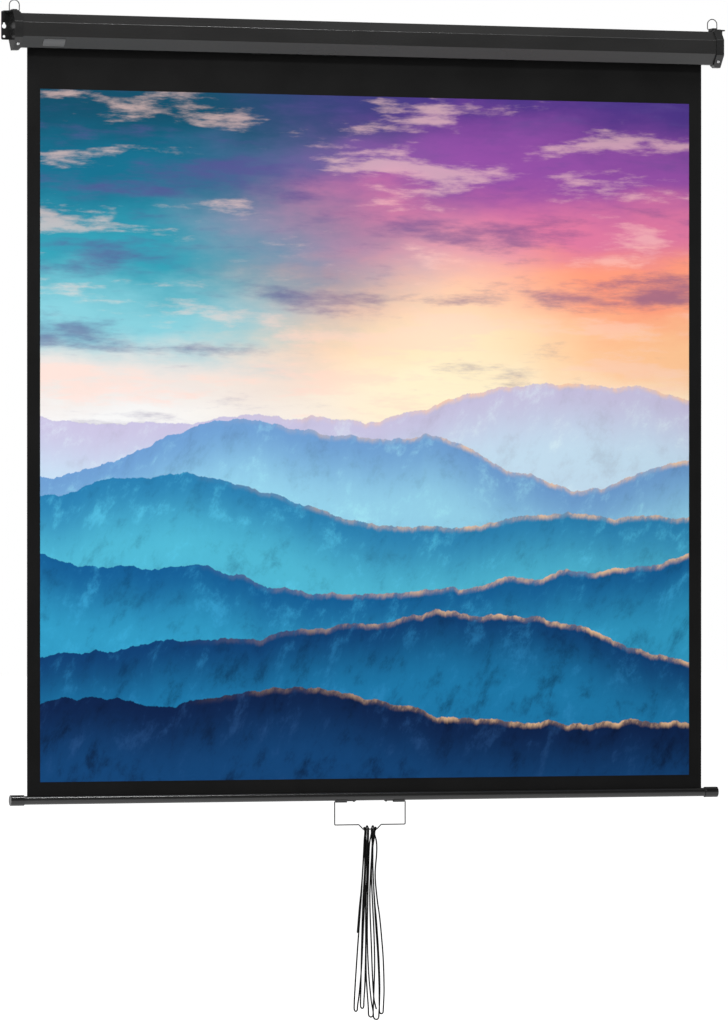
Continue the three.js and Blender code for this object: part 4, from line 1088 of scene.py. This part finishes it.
INNER_FINISHES = {
    "roller_tube": "roller_steel",
    "idler_plug": "inner_plastic",
    "idler_bush": "inner_plastic",
    "drive_plug": "inner_plastic",
    "spring_arbor": "inner_plastic",
    "idler_pin": "screw_steel",
    "spring_shaft": "screw_steel",
    "ratchet_wheel": "screw_steel",
    "pawl_front": "screw_steel",
    "pawl_rear": "screw_steel",
    "torsion_spring": "spring_steel",
    "pawl_pin_front": "spring_steel",
    "pawl_pin_rear": "spring_steel",
    "hem_rod": "spring_steel",
}


def finish_inner_pieces(finishes):
    """Gives the solids inside the case and the bar their finishes."""
    for name, finish in INNER_FINISHES.items():
        frame["nodes"][name].data.materials.clear()
        frame["nodes"][name].data.materials.append(finishes[finish])


# The studio. The floor and the room have a brightness of their own for each kind of ray that meets them. A
# lamp has its place, what it points at, its size and its power.

FLOOR_LEVEL = CORD_LOW.z - 0.30
FLOOR_SIZE = 120
FLOOR_TILES = 24
FLOOR_SEEN = 0.78
FLOOR_IN_GLOSS = 0.62
ROOM_IN_GLOSS = 0.30
ROOM_IN_FRONT = 0.14
ROOM_BEHIND = 0.50
LAMPS = {
    "key_lamp": ((-0.9, -3.4, 2.9), (0, 0, -0.9), (1.1, 0.5), 125),
    "left_lamp": ((-4.4, -2.8, 1.5), (0, 0, -1.0), (2.0, 2.0), 150),
    "top_lamp": ((0.55, -1.6, 2.6), (0.3, -0.8, 0.6), (0.65, 0.8), 54),
}


def floor_finish():
    """A pale floor that looks white to the camera and in gloss, and still holds the shadow of the screen."""
    material, tree, shader = new_finish("studio_floor", gloss=0.1)
    shader.inputs["Roughness"].default_value = 0.9
    patches = noise(tree, object_place(tree), 0.8)
    tree.links.new(mixed(tree, patches, grey(0.80), grey(0.83)), shader.inputs["Base Color"])
    ray = shader_node(tree, "LightPath").outputs
    seen = math_node(tree, "MAXIMUM", ray["Is Camera Ray"], ray["Is Transmission Ray"])
    seen = math_node(tree, "MAXIMUM", math_node(tree, "MULTIPLY", seen, FLOOR_SEEN),
                     math_node(tree, "MULTIPLY", ray["Is Glossy Ray"], FLOOR_IN_GLOSS))
    shader.inputs["Emission Color"].default_value = (1, 1, 1, 1)
    tree.links.new(seen, shader.inputs["Emission Strength"])
    return material


def make_floor():
    """The floor under the screen, wide enough to reach out of every view."""
    bpy.ops.mesh.primitive_grid_add(
        x_subdivisions=FLOOR_TILES, y_subdivisions=FLOOR_TILES, size=FLOOR_SIZE,
        location=(0, 0, FLOOR_LEVEL))
    ground = added("studio_floor")
    ground.data.materials.append(floor_finish())


def make_sky():
    """The soft surroundings: white to the camera, and as a light dimmer in front than behind. In gloss they
    are a dim room over the white floor, darkest above the front, as the dark paint of the case shows them."""
    world = bpy.data.worlds.new("studio_light")
    bpy.context.scene.world = world
    world.use_nodes = True
    tree = world.node_tree
    back = tree.nodes["Background"]
    towards = shader_node(tree, "TexCoord").outputs["Generated"]
    way = shader_node(tree, "SeparateXYZ", {"Vector": towards}).outputs
    ray = shader_node(tree, "LightPath").outputs
    light = between(tree, way["Y"], -0.9, 0.2, ROOM_IN_FRONT, ROOM_BEHIND)
    above_front = math_node(tree, "MULTIPLY", between(tree, way["Z"], 0.28, 0.50),
                            between(tree, way["Y"], -0.05, -0.35, 0.0, 0.90))
    gloss = math_node(tree, "MULTIPLY", ROOM_IN_GLOSS, math_node(tree, "SUBTRACT", 1.0, above_front))
    level = math_node(
        tree, "ADD", math_node(tree, "MULTIPLY", gloss, ray["Is Glossy Ray"]),
        math_node(tree, "MULTIPLY", light, math_node(tree, "SUBTRACT", 1.0, ray["Is Glossy Ray"])))
    seen = math_node(tree, "MAXIMUM", ray["Is Camera Ray"], ray["Is Transmission Ray"])
    tree.links.new(math_node(tree, "MAXIMUM", level, seen), back.inputs["Strength"])
    back.inputs["Color"].default_value = (1, 1, 1, 1)


def make_lamps():
    """Soft lamps: one over the front, one to its left and a small one near the top of the case."""
    for name, (place, target, size, power) in LAMPS.items():
        data = bpy.data.lights.new(name, "AREA")
        data.shape = "RECTANGLE"
        data.size, data.size_y = size
        data.energy = power
        lamp = bpy.data.objects.new(name, data)
        lamp.location = place
        lamp.rotation_euler = (Vector(target) - Vector(place)).to_track_quat("-Z", "Y").to_euler()
        bpy.context.scene.collection.objects.link(lamp)


finishes = {finish.__name__: finish() for finish in (
    case_paint, cap_plastic, bar_paint, clip_metal, screw_steel, ring_steel, handle_steel, badge_metal,
    roller_steel, spring_steel, inner_plastic, black_cloth, screen_front, cord_black,
)}

make_camera()
make_cord(finishes["cord_black"])
make_case(finishes)
for side in SIDES:
    make_ring(side, finishes["ring_steel"])
    make_bar_cap(side, finishes["cap_plastic"])
make_badge(finishes["badge_metal"])
make_bar(finishes["bar_paint"])
make_clips(finishes["clip_metal"])
make_handle(finishes["handle_steel"])
cut_length = make_sheet(finishes)
make_foot(finishes["black_cloth"], cut_length)
make_wraps(finishes["black_cloth"])
finish_inner_pieces(finishes)
make_floor()
make_sky()
make_lamps()
bpy.context.scene.view_settings.view_transform = "Standard"
